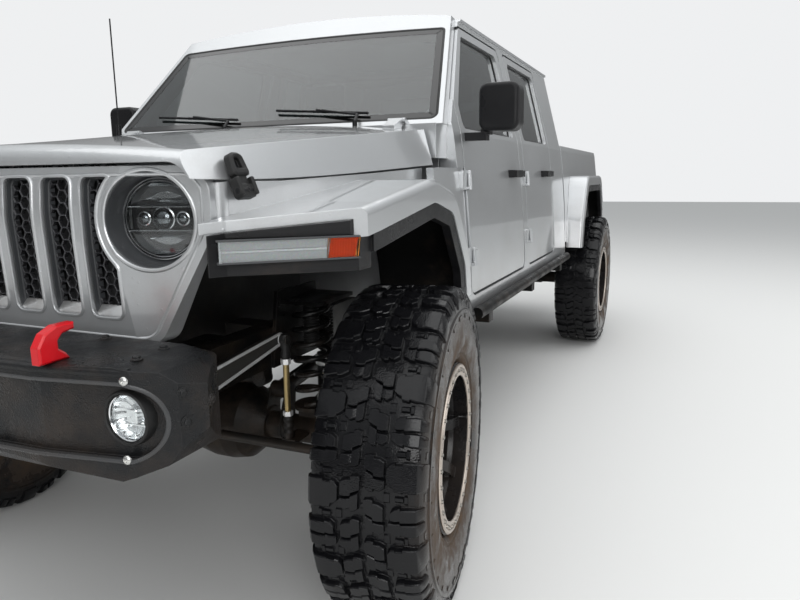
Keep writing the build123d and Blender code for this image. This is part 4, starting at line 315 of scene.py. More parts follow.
# %% Silver paint
def silver_paint(name, dust_top, dust, beads):
    material, tree, shader = finish_of(
        name, (0.48, 0.49, 0.50), 0.34, metallic=0.70, Coat_Weight=1.0, Coat_Roughness=0.05)
    place = object_place(tree)
    flakes = node(tree, "TexNoise", Vector=place, Scale=900.0, Detail=2.0)
    cloud = node(tree, "TexNoise", Vector=place, Scale=2.2, Detail=6.0)
    base = node(tree, "MixRGB", flakes, (0.45, 0.463, 0.474, 1), (0.62, 0.634, 0.645, 1))
    mud = place_group(tree, trail_mud, Top=dust_top, Amount=dust, Grain=3.5)
    drops = place_group(tree, rain_beads, Cell_Size=0.013, Share=beads)
    soft = place_group(tree, edge_wear, Radius=0.003)
    fill(tree, shader,
         Base_Color=node(tree, "MixRGB", mud, base, (0.17, 0.125, 0.088, 1)),
         Roughness=node(tree, "MapRange", cloud, To_Min=0.24, To_Max=0.46),
         Coat_Weight=maths(tree, "SUBTRACT", 1.0, mud, clamp=True))
    relief(tree, shader, 0.38, 0.0012, Height=drops, Normal=soft.outputs["Normal"])
    return material


body_silver = silver_paint("wet_silver", 1.05, 0.30, 0.24)
dusty_silver = silver_paint("dusty_silver", 1.6, 0.85, 0.20)
print("finishes:", body_silver.name, dusty_silver.name)

# %% [markdown]
# ## Black trim, bumper coat and chassis paint
# Dark finishes that must not look alike. Moulded trim has a fine grain and a soft
# sheen. The bumper's coat is coarser and scuffed grey at its edges, and a lighter copy
# of it is a painted highlight on the rim of the sunk panel. The chassis paint is smooth,
# with mud dried in every hollow. One function makes them all: it takes the gloss from
# worn to fresh, the grain and its depth, how high and how thick the mud lies, and the
# colour of the edges, which is wear on most finishes and a painted highlight on the
# honeycomb.

# %% Dark finishes
def worn_gloss(tree, shader, skin, low, high, mask=None, spread=0.15):
    """Roughness from the grain's wear, never glossier than the dirt on it."""
    gloss = node(tree, "MapRange", skin.outputs["Wear"], From_Min=0.5 - spread, From_Max=0.5 + spread,
                 To_Min=low, To_Max=high)
    if mask is not None:
        gloss = maths(tree, "MAXIMUM", gloss, mask)
    fill(tree, shader, Roughness=gloss)


def dark_finish(name, color, gloss, grain, depth, mud, edge_wear_and_highlight_color, metallic=0.0, specular=0.35):
    material, tree, shader = finish_of(
        name, color, gloss[0], metallic=metallic, Specular_IOR_Level=specular)
    skin = place_group(tree, moulded_grain, Scale=grain, Wear_Scale=7.0)
    edges = place_group(tree, edge_wear, Radius=0.003, Breakup=30.0)
    dirt = place_group(tree, trail_mud, Top=mud[0], Amount=mud[1], Grain=8.0)
    # Edges take the lighter colour: wear on most finishes, a painted highlight on the honeycomb
    edge_wear_and_highlight = node(tree, "MixRGB", edges, (*color, 1), (*edge_wear_and_highlight_color, 1))
    fill(tree, shader, Base_Color=node(tree, "MixRGB", dirt, edge_wear_and_highlight, (0.075, 0.052, 0.036, 1)))
    worn_gloss(tree, shader, skin, *gloss, dirt)
    relief(tree, shader, 0.6, depth, Height=skin, Normal=edges.outputs["Normal"])
    return material


def grey(value):
    return (value,) * 3


moulded_black = dark_finish("moulded_black", (0.008, 0.008, 0.009), (0.22, 0.46), 900.0, 0.0006,
                            (0.9, 0.45), grey(0.035), specular=0.24)
bumper_black = dark_finish("bumper_black", (0.007, 0.0075, 0.0085), (0.10, 0.60), 380.0, 0.0016,
                           (1.0, 0.40), grey(0.050), specular=0.28)
# A lighter grey copy of the bumper's coat: a painted highlight for the rim of the sunk panel
bumper_rim_painted_highlight = dark_finish("bumper_rim_painted_highlight", (0.050, 0.051, 0.053), (0.18, 0.40), 420.0, 0.0008,
                            (1.0, 0.30), grey(0.12))
chassis_black = dark_finish("chassis_black", grey(0.005), (0.24, 0.55), 260.0, 0.0010,
                            (0.8, 0.55), (0.016, 0.015, 0.014), specular=0.2)
raw_steel = dark_finish("raw_steel", (0.030, 0.029, 0.028), (0.34, 0.60), 300.0, 0.0010,
                        (0.8, 0.60), (0.08, 0.07, 0.06), metallic=0.6)
billet = dark_finish("billet", grey(0.85), (0.30, 0.50), 500.0, 0.0002,
                     (0.4, 0.10), grey(0.8), metallic=0.55)
pocket_grey = dark_finish("pocket_grey", (0.035, 0.034, 0.032), (0.40, 0.60), 300.0, 0.0006,
                          (0.8, 0.30), grey(0.06))
spring_black = dark_finish("spring_black", grey(0.006), (0.20, 0.42), 400.0, 0.0004,
                           (0.8, 0.45), grey(0.02), specular=0.3)
gold_zinc = dark_finish("gold_zinc", (0.42, 0.32, 0.15), (0.28, 0.50), 500.0, 0.0004,
                        (0.75, 0.40), (0.5, 0.42, 0.3), metallic=0.9)
machined_grey = dark_finish("machined_grey", (0.030, 0.030, 0.031), (0.22, 0.40), 500.0, 0.0003,
                            (0.7, 0.20), grey(0.09), metallic=0.5)
dull_exhaust = dark_finish("dull_exhaust", (0.22, 0.20, 0.18), (0.40, 0.60), 300.0, 0.0005,
                           (0.7, 0.50), (0.3, 0.26, 0.2), metallic=0.8)
liner_black = dark_finish("liner_black", grey(0.005), (0.45, 0.75), 300.0, 0.0010,
                          (0.9, 0.40), grey(0.012), specular=0.15)
# The lighter colour of the honeycomb's edges is a painted highlight on its walls, not wear
comb_black = dark_finish("comb_black", (0.022, 0.022, 0.024), (0.14, 0.30), 900.0, 0.0002,
                         (0.9, 0.10), (0.10, 0.10, 0.11), specular=0.6)
slot_grey = dark_finish("slot_grey", (0.055, 0.058, 0.062), (0.30, 0.42), 900.0, 0.0003,
                        (0.7, 0.20), grey(0.10))
wheel_black = dark_finish("wheel_black", (0.008, 0.008, 0.009), (0.16, 0.34), 600.0, 0.0003,
                          (0.8, 0.18), grey(0.03), specular=0.3)
cabin_black = dark_finish("cabin_black", (0.022, 0.022, 0.023), (0.42, 0.60), 800.0, 0.0006,
                          (0.2, 0.10), grey(0.04))
seal_rubber = dark_finish("seal_rubber", grey(0.012), (0.40, 0.62), 500.0, 0.0005,
                          (0.8, 0.25), grey(0.03))
print("dark finishes ready")

# %% [markdown]
# ## Tyre rubber
# Wet rubber is nearly black and fairly glossy on the raised blocks, and a film of brown
# mud dries on the sidewall where it meets the rim. The rim film depends on how far a
# point is from its wheel's own axis, so front and rear tyres carry their own numbers.

# %% Tyre rubber
def tyre_finish(name, axle_x):
    material, tree, shader = finish_of(name, (0.008, 0.008, 0.009), 0.30, Specular_IOR_Level=0.28)
    place = object_place(tree)
    split = node(tree, "SeparateXYZ", place)
    flat = node(tree, "CombineXYZ",
                X=maths(tree, "SUBTRACT", split.outputs["X"], axle_x),
                Z=maths(tree, "SUBTRACT", split.outputs["Z"], TYRE_RADIUS))
    reach = node(tree, "VectorMath", flat, operation="LENGTH").outputs["Value"]
    film = node(tree, "MapRange", reach, From_Min=0.42, From_Max=0.27)
    blot = node(tree, "TexNoise", Vector=place, Scale=11.0, Detail=9.0, Roughness=0.7)
    blot_mask = node(tree, "MapRange", blot, From_Min=0.33, From_Max=0.60)
    mud = maths(tree, "MULTIPLY", film, blot_mask, clamp=True)
    fill(tree, shader, Base_Color=node(tree, "MixRGB", mud, (0.006, 0.006, 0.007, 1), (0.105, 0.070, 0.046, 1)))
    skin = place_group(tree, moulded_grain, Scale=320.0, Wear_Scale=16.0)
    worn_gloss(tree, shader, skin, 0.06, 0.26, mud)
    soft = place_group(tree, edge_wear, Radius=0.002)
    relief(tree, shader, 0.5, 0.0008, Height=skin, Normal=soft.outputs["Normal"])
    return material


tyre_front = tyre_finish("wet_tyre_front", FRONT_AXLE)
tyre_rear = tyre_finish("wet_tyre_rear", REAR_AXLE)
print("tyre finishes ready")

# %% [markdown]
# ## Glass and lenses
# Glass keeps its plain metallic and transmission numbers. The windows are tinted, so
# the cabin shows only faintly behind the reflections. Lamp lenses are clear, some with
# beads of rain on them and some with moulded ribs.

# %% Glass and lens finishes
def glass_finish(name, color, roughness, drops=0.0, ribs=0.0, index=1.45):
    material, tree, shader = finish_of(name, color, roughness, IOR=index, Transmission_Weight=1.0)
    place = object_place(tree)
    smear = node(tree, "TexNoise", Vector=place, Scale=3.0, Detail=6.0)
    fill(tree, shader, Roughness=node(tree, "MapRange", smear, From_Min=0.45, From_Max=0.75,
                                      To_Min=roughness, To_Max=roughness + 0.06))
    if ribs:
        height = node(tree, "TexWave", bands_direction="Y", Vector=place, Scale=ribs).outputs[0]
    else:
        height = place_group(tree, rain_beads, Cell_Size=0.016, Share=drops)
    relief(tree, shader, 0.4, 0.0012, Height=height)
    return material


window_glass = glass_finish("tinted_window", (0.20, 0.23, 0.23), 0.0, index=1.8)
lamp_glass = glass_finish("lamp_lens", (0.93, 0.95, 0.95), 0.0, drops=0.25)
strip_glass = glass_finish("strip_lens", (0.88, 0.90, 0.92), 0.12, ribs=26.0)
amber_glass = glass_finish("amber_lens", (0.95, 0.38, 0.05), 0.06, ribs=30.0)
red_glass = glass_finish("red_lens", (0.62, 0.02, 0.02), 0.05, ribs=30.0)
print("glass ready")

# %% [markdown]
# ## Painted red, chrome and cloth
# The recovery hooks are powder coated: a soft gloss with darker chips along the edges.
# Chrome is for reflectors and lens rings. Cloth is woven from two crossing waves, with
# a short nap that lifts its colour at the edges.

# %% Remaining finishes
def hook_red(color):
    material, tree, shader = finish_of("hook_red", color, 0.30, Specular_IOR_Level=0.3, Coat_Weight=0.15)
    edges = place_group(tree, edge_wear, Radius=0.003, Breakup=90.0)
    fill(tree, shader, Base_Color=node(tree, "MixRGB", edges, (*color, 1), (0.20, 0.02, 0.015, 1)))
    beads = place_group(tree, rain_beads, Cell_Size=0.012, Share=0.20)
    relief(tree, shader, 0.25, 0.0012, Height=beads, Normal=edges.outputs["Normal"])
    return material


def bright_metal(name, color, roughness):
    material, tree, shader = finish_of(name, color, roughness, metallic=1.0)
    skin = place_group(tree, moulded_grain, Scale=500.0, Wear_Scale=20.0)
    worn_gloss(tree, shader, skin, roughness, roughness + 0.14, spread=0.2)
    return material


def woven_cloth(name, dark, light):
    material, tree, shader = finish_of(name, dark, 0.85, Sheen_Weight=0.35, Sheen_Roughness=0.5)
    place = object_place(tree)
    across = node(tree, "TexWave", bands_direction="Y", Vector=place, Scale=210.0)
    along = node(tree, "TexWave", bands_direction="DIAGONAL", Vector=place, Scale=150.0)
    weave = node(tree, "MixRGB", 1.0, across.outputs["Color"], along.outputs["Color"], blend_type="MULTIPLY")
    fill(tree, shader, Base_Color=node(tree, "MixRGB", weave, (*dark, 1), (*light, 1)))
    relief(tree, shader, 0.7, 0.0009, Height=weave)
    return material


def lit_plastic(name, color, pitch):
    """Pale lamp plastic with fine moulded flutes and a mottled frost."""
    material, tree, shader = finish_of(name, color, 0.30, Coat_Weight=0.5, Coat_Roughness=0.08)
    place = object_place(tree)
    flutes = node(tree, "TexWave", bands_direction="X", Vector=place, Scale=pitch)
    frost = node(tree, "TexNoise", Vector=place, Scale=260.0, Detail=6.0)
    shade = node(tree, "MixRGB", 0.45, (*color, 1), frost.outputs["Color"], blend_type="MULTIPLY")
    fill(tree, shader, Base_Color=shade)
    relief(tree, shader, 0.5, 0.0006, Height=flutes.outputs[0])
    return material


red_coat = hook_red((0.56, 0.004, 0.010))
chrome = bright_metal("lamp_chrome", (0.80, 0.81, 0.82), 0.06)
dark_chrome = bright_metal("dark_chrome", (0.42, 0.43, 0.44), 0.10)
eye_glass = bright_metal("lamp_eye", (0.16, 0.17, 0.18), 0.03)
bolt_bright = bright_metal("bolt_bright", (0.62, 0.62, 0.60), 0.18)
beadlock_metal = bright_metal("beadlock_metal", (0.56, 0.49, 0.43), 0.26)
bolt_metal = bright_metal("bolt_metal", (0.33, 0.32, 0.30), 0.30)
frosted = lit_plastic("frosted_rows", (0.62, 0.63, 0.64), 160.0)
bright_line = lit_plastic("bright_line", (0.90, 0.91, 0.92), 20.0)
amber_body = lit_plastic("amber_body", (0.80, 0.27, 0.03), 130.0)
red_plastic = lit_plastic("red_tail", (0.42, 0.008, 0.008), 90.0)
frit_black = finish_of("frit_black", grey(0.004), 0.10, Coat_Weight=0.3, Coat_Roughness=0.03)[0]
seat_cloth = woven_cloth("seat_cloth", (0.016, 0.016, 0.017), (0.028, 0.028, 0.030))
print("last finishes ready")

# %% [markdown]
# ## Dress the CAD parts
# Each part that keeps its own shape gets the finish of its material slot. A few parts
# share a slot in the record but not a look, so they are named one by one after that.

# %% Assign finishes to the parts
slot_finish = {
    "silver_paint": body_silver, "black_plastic": moulded_black, "black_rubber": seal_rubber,
    "tyre_rubber": tyre_rear, "wheel_metal": wheel_black, "chassis_black": chassis_black,
    "forged_steel": raw_steel, "plated_steel": gold_zinc, "shock_paint": machined_grey,
    "exhaust_steel": dull_exhaust, "red_paint": red_coat, "clear_glass": window_glass,
    "front_lamp": strip_glass, "tail_lamp": red_glass, "cabin_plastic": cabin_black,
    "seat_fabric": seat_cloth,
}
own_finish = {
    "front_bumper": bumper_black, "rear_bumper": bumper_black, "steering_links": raw_steel,
    "springs": spring_black, "tyre_front_left": tyre_front, "tyre_front_right": tyre_front,
    "radiator": cabin_black,
}
for part in frame["record"]["subparts"]:
    name = part["node"]
    mesh = nodes[name].data
    material = own_finish.get(name, slot_finish[part["material_slot"]])
    if not mesh.materials:
        mesh.materials.append(material)
    for index in range(len(mesh.materials)):
        mesh.materials[index] = material
print("dressed", len(nodes), "parts")

# %% [markdown]
# ## A small kit for making pieces
# Every added piece is a list of loops lofted into faces. A loop is one ring of points,
# and a piece is closed by joining each ring to the next. From that come turned forms,
# bars that follow a line, plates with bevelled edges, and the lugs of the tyres.

# %% Shape kit
def circle(count):
    """Cosine and sine of equal steps round a circle."""
    angles = [2 * math.pi * k / count for k in range(count)]
    return [(math.cos(angle), math.sin(angle)) for angle in angles]


class Shape:
    """Collects the faces of one piece, each with the number of its finish."""

    def __init__(self):
        self.verts, self.faces, self.marks = [], [], []

    def loft(self, loops, place=None, finish=0, wrap=False, caps=True):
        """Join loops of equal length; wrap joins the last loop to the first."""
        base, count = len(self.verts), len(loops[0])
        place = place or Matrix()
        for loop in loops:
            self.verts += [place @ Vector(point) for point in loop]
        pairs = [(i, i + 1) for i in range(len(loops) - 1)]
        if wrap:
            pairs.append((len(loops) - 1, 0))
        made = []
        for low, high in pairs:
            for i in range(count):
                j = (i + 1) % count
                made.append([base + low * count + i, base + low * count + j,
                             base + high * count + j, base + high * count + i])
        if caps and not wrap:
            made.append([base + i for i in range(count)][::-1])
            made.append([base + (len(loops) - 1) * count + i for i in range(count)])
        self.add(made, finish)

    def add(self, faces, finish):
        self.faces += faces
        self.marks += [finish] * len(faces)

    def turn(self, profile, count, place=None, finish=0, wrap=False, caps=False):
        """Turned form: profile of radius and height about local Z."""
        loops = [[(radius * c, radius * s, height) for c, s in circle(count)]
                 for radius, height in profile]
        self.loft(loops, place, finish, wrap, caps)

    def plate(self, outline, low, high, bevel, place, finish=0):
        """Flat outline raised from low to high, its upper edge bevelled."""
        self.loft(levels((outline, low), (outline, high - bevel), (inset(outline, bevel), high)),
                  place, finish)

    def frame(self, outer, inner, low, high, bevel, place, finish=0):
        """Flat ring between two outlines with the same number of points."""
        loops = levels((outer, low), (outer, high - bevel), (inset(outer, bevel), high),
                       (inset(inner, -bevel), high), (inner, high - bevel), (inner, low))
        self.loft(loops, place, finish, wrap=True)

    def bar(self, points, radius, count=10, place=None, finish=0):
        """Round bar along a line of points; radius is one number or one a point."""
        loops, side = [], None
        points = [Vector(p) for p in points]
        for index, point in enumerate(points):
            ahead = points[min(index + 1, len(points) - 1)] - points[max(index - 1, 0)]
            ahead.normalize()
            if side is None:
                side = ahead.orthogonal().normalized()
            side = (side - ahead * side.dot(ahead)).normalized()
            over = ahead.cross(side)
            r = radius[index] if isinstance(radius, (list, tuple)) else radius
            loops.append([point + r * (c * side + s * over) for c, s in circle(count)])
        self.loft(loops, place, finish)

    def bolt(self, radius, height, place, finish=0):
        """Hexagon head on a washer."""
        self.turn([(radius * 1.45, 0), (radius * 1.45, height * 0.22), (radius * 1.1, height * 0.26)],
                  14, place, finish, caps=True)
        self.turn([(radius, height * 0.2), (radius, height * 0.85), (radius * 0.8, height)],
                  6, place, finish, caps=True)

    def copy_to(self, place):
        other = Shape()
        other.verts = [place @ Vector(v) for v in self.verts]
        other.faces, other.marks = self.faces, self.marks
        return other

    def piece(self, name, finishes, slot, body="chassis", replaces=(), crease=32):
        """Make the Blender object, shade it, and let it ride its body."""
        mesh = bpy.data.meshes.new(name)
        mesh.from_pydata([tuple(v) for v in self.verts], [], self.faces)
        for finish in finishes:
            mesh.materials.append(finish)
        mesh.polygons.foreach_set("material_index", self.marks)
        work = bmesh.new()
        work.from_mesh(mesh)
        bmesh.ops.recalc_face_normals(work, faces=work.faces)
        work.to_mesh(mesh)
        work.free()
        mesh.shade_smooth()
        mesh.set_sharp_from_angle(angle=math.radians(crease))
        made = bpy.data.objects.new(name, mesh)
        bpy.context.collection.objects.link(made)
        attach(made, body)
        if replaces:
            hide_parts(*replaces)
        return made


def levels(*outlines):
    """Loops of one flat outline after another, each at its own height."""
    return [[(x, y, height) for x, y in outline] for outline, height in outlines]


def neighbours(loop):
    """Each point of a closed loop with the one after it."""
    return zip(loop, loop[1:] + loop[:1])


def inset(outline, amount):
    """Move every side of a closed outline inwards by the same amount."""
    area = sum(a[0] * b[1] - b[0] * a[1] for a, b in neighbours(outline))
    turn = 1.0 if area > 0 else -1.0
    moved = []
    for before, (here, after) in zip(outline[-1:] + outline[:-1], neighbours(outline)):
        one = Vector((here[0] - before[0], here[1] - before[1])).normalized()
        two = Vector((after[0] - here[0], after[1] - here[1])).normalized()
        normal = Vector((-one.y - two.y, one.x + two.x)) * turn
        if normal.length < 1e-6:
            normal = Vector((-one.y, one.x)) * turn
        normal.normalize()
        reach = amount / max(0.35, abs(normal.dot(Vector((-one.y, one.x)))))
        moved.append((here[0] + normal.x * reach, here[1] + normal.y * reach))
    return moved


def box_outline(half, low, high, top=None):
    """Four corners about the middle line; the upper side may have its own half width."""
    top = half if top is None else top
    return [(-half, low), (half, low), (top, high), (-top, high)]


def rounded(width, height, radius, steps=5):
    """Rounded rectangle about the origin."""
    points = []
    for cx, cy, start in ((1, 1, 0), (-1, 1, 90), (-1, -1, 180), (1, -1, 270)):
        for k in range(steps + 1):
            angle = math.radians(start + 90 * k / steps)
            points.append((cx * (width / 2 - radius) + radius * math.cos(angle),
                           cy * (height / 2 - radius) + radius * math.sin(angle)))
    return points


def steps_between(a, b, count):
    """Points of a straight line from a up to, but without, b."""
    return [(a[0] + (b[0] - a[0]) * k / count, a[1] + (b[1] - a[1]) * k / count)
            for k in range(count)]


def subdivided(path, longest):
    """Closed path with its long sides cut into shorter ones."""
    return [point for a, b in neighbours(path)
            for point in steps_between(a, b, max(1, int(math.dist(a, b) / longest)))]


def rounded_path(corners, radius, steps=8):
    """Closed path with its corners rounded; radius is one number or one a corner."""
    path = []
    for index, here in enumerate(corners):
        before, after = Vector(corners[index - 1]), Vector(corners[(index + 1) % len(corners)])
        here = Vector(here)
        one, two = (before - here).normalized(), (after - here).normalized()
        r = radius[index] if isinstance(radius, (list, tuple)) else radius
        half = one.angle(two) / 2
        back = r / math.tan(half)
        middle = here + (one + two).normalized() * (r / math.sin(half))
        start, end = here + one * back - middle, here + two * back - middle
        path += [tuple(middle + start.lerp(end, k / steps).normalized() * r) for k in range(steps + 1)]
    return path


def axes_at(origin, x, y, z):
    made = Matrix((x, y, z)).transposed().to_4x4()
    made.translation = Vector(origin)
    return made


def place_on(origin, normal, up=(0, 0, 1)):
    """Matrix whose local Z is the normal and whose local Y leans to up."""
    z = Vector(normal).normalized()
    x = Vector(up).cross(z)
    if x.length < 1e-5:
        x = Vector((0, 1, 0)).cross(z)
    x.normalize()
    return axes_at(origin, x, z.cross(x), z)


print("shape kit ready")

# %% [markdown]
# ## Mud-terrain tyres
# The tread is what one sees first. It has four rows: a wide row of shoulder lugs on
# each side, which run over the edge and down the sidewall, and two rows of skewed
# blocks in the middle, half a pitch apart. Every second shoulder lug is split by a
# slit, and low ledges stand in the grooves to throw out stones. A lug is a ribbon of
# stations across the tread, each with its own start and end around the wheel, so a
# jump from one station to the next gives the stepped, saw-toothed edges.

# %% Tyre carcass and lugs
PITCHES = 28
PITCH = 2 * math.pi / PITCHES
LUG_ROOT = 0.449
carcass = [
    # radius, and place across, from the bead to the middle of the tread
    (0.2490, 0.1165), (0.2560, 0.1280), (0.2640, 0.1345), (0.2720, 0.1330), (0.2760, 0.1375),
    (0.3000, 0.1440), (0.3300, 0.1468), (0.3600, 0.1470), (0.3900, 0.1450), (0.3930, 0.1478),
    (0.4010, 0.1474), (0.4040, 0.1432), (0.4280, 0.1388), (0.4440, 0.1310), (0.4510, 0.1180),
    (0.4525, 0.0600), (0.4525, 0.0),
]
tread_line = [
    # across the wheel, radius of the lug's top, and of its root inside the carcass
    (0.052, 0.4670, 0.449), (0.072, 0.4670, 0.449), (0.096, 0.4668, 0.449), (0.112, 0.4662, 0.447),
    (0.1285, 0.4612, 0.440), (0.1370, 0.4500, 0.430), (0.1438, 0.4330, 0.420), (0.1462, 0.4150, 0.408),
]


def top_at(across):
    """Height of the lugs' tops at a place across the tread."""
    last = tread_line[0]
    for row in tread_line:
        if row[0] >= across:
            span = row[0] - last[0]
            share = 0 if span < 1e-9 else (across - last[0]) / span
            return last[1] + (row[1] - last[1]) * share
        last = row
    return last[1]


def on_tyre(radius, angle, out):
    return (radius * math.cos(angle), radius * math.sin(angle), out)


def ribbon(shape, stations, angle, side=1.0):
    """One lug: stations of place across, start and end around, top and root."""
    draft, edge, chamfer = 0.0030, 0.0022, 0.0024
    loops = []
    for across, start, end, top, root, root_across in stations:
        loops.append([on_tyre(radius, angle + around / TYRE_RADIUS, side * at) for around, radius, at in (
            (start - draft, root, root_across), (start, top - chamfer, across),
            (start + edge, top, across), (end - edge, top, across), (end, top - chamfer, across),
            (end + draft, root, root_across))])
    shape.loft(loops)


def tread_stations(spans):
    """Stations from spans of place across, start and end."""
    return [(across, start, end, top_at(across), LUG_ROOT, across) for across, start, end in spans]


def shoulder(spans, reach):
    """Shoulder lug: tread stations, then down over the edge as far as reach."""
    stations = tread_stations(spans)
    start, end = spans[-1][1:]
    for across, top, root in tread_line[4:4 + reach]:
        squeeze = 0.0016 * (len(stations) - len(spans))
        stations.append((across, start + squeeze, end - squeeze, top, root, across - 0.014))
    return stations


full_lug = shoulder([
    (0.0590, -0.022, 0.014), (0.0660, -0.031, 0.020), (0.0765, -0.034, 0.024), (0.0770, -0.029, 0.031),
    (0.0955, -0.031, 0.034), (0.0960, -0.036, 0.030), (0.1120, -0.036, 0.033),
], 4)
split_low = shoulder([
    (0.0700, -0.026, -0.004), (0.0800, -0.034, -0.003), (0.0920, -0.036, -0.005),
    (0.0925, -0.031, -0.001), (0.1120, -0.034, -0.003),
], 3)
split_high = shoulder([
    (0.0640, 0.002, 0.022), (0.0800, 0.003, 0.032), (0.0920, 0.001, 0.034),
    (0.0925, 0.005, 0.029), (0.1120, 0.003, 0.033),
], 3)
middle_low = tread_stations([
    (0.0050, -0.047, -0.016), (0.0180, -0.050, -0.010), (0.0270, -0.048, -0.006),
    (0.0275, -0.041, 0.000), (0.0400, -0.040, 0.002), (0.0520, -0.034, 0.000),
])
middle_high = tread_stations([
    (0.0090, -0.010, 0.030), (0.0180, -0.005, 0.036), (0.0270, -0.001, 0.036),
    (0.0275, 0.006, 0.029), (0.0420, 0.008, 0.034), (0.0540, 0.008, 0.026),
])
ledges = [
    # across, half length, around, half width, top
    (0.058, 0.007, 0.050, 0.012, 0.4560), (0.088, 0.010, 0.0515, 0.006, 0.4575),
    (0.104, 0.004, 0.0515, 0.010, 0.4560), (0.0, 0.006, 0.024, 0.006, 0.4565),
]
wall_blocks = [
    # inner and outer radius, how far out, half width, turn in pitches
    (0.4100, 0.4260, 0.1425, 0.009, 0.5), (0.3760, 0.3880, 0.1486, 0.016, 0.0),
]


def build_tyre():
    shape = Shape()
    both = carcass + [(r, -a) for r, a in reversed(carcass[:-1])]
    shape.turn(both + [(0.2450, -0.110), (0.2450, 0.110)], PITCHES * 4, wrap=True)
    for index in range(PITCHES):
        for side in (1.0, -1.0):
            angle = (index + (0.0 if side > 0 else 0.5)) * PITCH
            lugs = [full_lug] if index % 2 else [split_low, split_high]
            for stations in lugs + [middle_low, middle_high]:
                ribbon(shape, stations, angle, side)
            for across, half, around, width, top in ledges:
                ribbon(shape, [(at, around - width, around + width, top, LUG_ROOT, at)
                               for at in (across - half, across + half)], angle, side)
            for low, high, proud, width, shift in wall_blocks:
                shape.loft([[on_tyre(radius, angle + shift * PITCH + around / radius, side * at)
                             for around, at in ((-width - 0.001, 0.12), (-width, out), (width, out),
                                                (width + 0.001, 0.12))]
                            for radius, out in ((low, proud), (high, proud - 0.0015))])
    return shape


def wheel_place(front, side):
    """Middle of a wheel and its outward direction; the front pair stands steered."""
    if not front:
        return (REAR_AXLE, side * WHEEL_Y, TYRE_RADIUS), (0, side, 0)
    s, c, reach = math.sin(STEER), math.cos(STEER), WHEEL_Y - KINGPIN_Y
    return ((FRONT_AXLE - side * s * reach, side * KINGPIN_Y + side * c * reach, TYRE_RADIUS),
            (-side * s, side * c, 0))


wheels = {"front_" + label: (place_on(*wheel_place(True, side)), tyre_front) for label, side in SIDES}
wheels.update({"rear_" + label: (place_on(*wheel_place(False, side)), tyre_rear) for label, side in SIDES})
tyre_shape = build_tyre()
for name, (place, rubber) in wheels.items():
    tyre_shape.copy_to(place).piece("tread_tyre_" + name, [rubber], "tyre_rubber", "wheel_" + name,
                                    ["tyre_" + name], crease=28)
print("tyres:", len(tyre_shape.faces), "faces each")

# %% [markdown]
# ## Beadlock rings and hub
# A beadlock clamps the tyre's outer bead under a bolted ring. The ring here is bare
# machined metal with a rolled outer edge and 32 small bolts, and behind it the rim and
# spokes stay satin black. Five nuts and a cap finish the hub.

# %% Beadlock rings
def bolt_circle(shape, count, start, radius, height, size, tall):
    for k in range(count):
        angle = 2 * math.pi * (k + start) / count
        spot = (radius * math.cos(angle), radius * math.sin(angle), height)
        shape.bolt(size, tall, Matrix.Translation(spot), finish=1)


beadlock = Shape()
beadlock.turn([(0.2070, 0.1322), (0.2070, 0.1350), (0.2095, 0.1372), (0.2180, 0.1372), (0.2195, 0.1360),
               (0.2300, 0.1360), (0.2315, 0.1378), (0.2385, 0.1378), (0.2420, 0.1350), (0.2420, 0.1322)],
              128, wrap=True)
# Count, turn in steps, radius of the circle, height, then each bolt's radius and height
bolt_circle(beadlock, 32, 0.5, 0.2248, 0.1358, 0.0052, 0.0058)
bolt_circle(beadlock, 5, 0.25, 0.0635, 0.0060, 0.0105, 0.024)
beadlock.turn([(0.0, 0.0372), (0.026, 0.0392), (0.034, 0.0380), (0.0365, 0.0350), (0.0365, 0.030)],
              40, finish=2)
# Valve stem
beadlock.bar([(0.196, 0.02, 0.105), (0.198, 0.02, 0.122), (0.198, 0.02, 0.132)],
             [0.0055, 0.0045, 0.0045], 8, finish=2)
for name, (place, rubber) in wheels.items():
    beadlock.copy_to(place).piece("beadlock_" + name, [beadlock_metal, bolt_metal, wheel_black],
                                  "wheel_metal", "wheel_" + name)
print("beadlocks:", len(beadlock.faces), "faces each")

# %% [markdown]
# ## Grille face
# The grille's face is a bent sheet: it leans back above and below a crease, and its ends
# sweep back behind the lamps. Rims, sleeves and lamp rings all follow it, so one small
# function gives the face's X for any place on it, counted as the solids are.

# %% Face of the grille
NOSE = FRONT_AXLE + 0.605
LAMP_Y, LAMP_Z = 0.500, 1.152
SWEEP, SWEEP_Y = math.radians(15.0), 0.42
CREASE_Z, ABOVE_CREASE, BELOW_CREASE, LEAN = 1.160, 0.170, 0.322, 0.016
BOW = 0.005
SLOT_Z, SLOT_WIDE, SLOT_TALL, SLOT_ROUND = 1.0895, 0.090, 0.315, 0.018
LAMP_CLEAR = 0.132


def face_x(y, z, depth=0.0):
    """X of the grille's face, or of a sheet that lies deeper behind it."""
    y = abs(y)
    plan = BOW * (y / SWEEP_Y) ** 2 if y < SWEEP_Y else BOW + (y - SWEEP_Y) * math.tan(SWEEP)
    lean = LEAN * ((z - CREASE_Z) / ABOVE_CREASE if z > CREASE_Z else (CREASE_Z - z) / BELOW_CREASE)
    return NOSE - max(plan, lean) - depth


def slot_outline(middle, grow):
    """Outline of one slot as Y and Z, kept clear of the metal round a lamp."""
    corners = rounded(SLOT_WIDE + 2 * grow, SLOT_TALL + 2 * grow, SLOT_ROUND + grow, 4)
    points = []
    for start, end in neighbours(corners):
        points += steps_between(start, end, 24 if abs(end[1] - start[1]) > 0.1 else 1)
    placed = []
    for y, dz in points:
        y, dz = y + middle, dz + SLOT_Z
        keep = (LAMP_CLEAR - grow) ** 2 - (dz - LAMP_Z) ** 2
        if keep > 0 and abs(middle) > 0.3:
            limit = LAMP_Y - math.sqrt(keep)
            y = math.copysign(min(abs(y), limit), y)
        placed.append((y, dz))
    return placed


print("face at the crease:", round(face_x(0, CREASE_Z), 3))

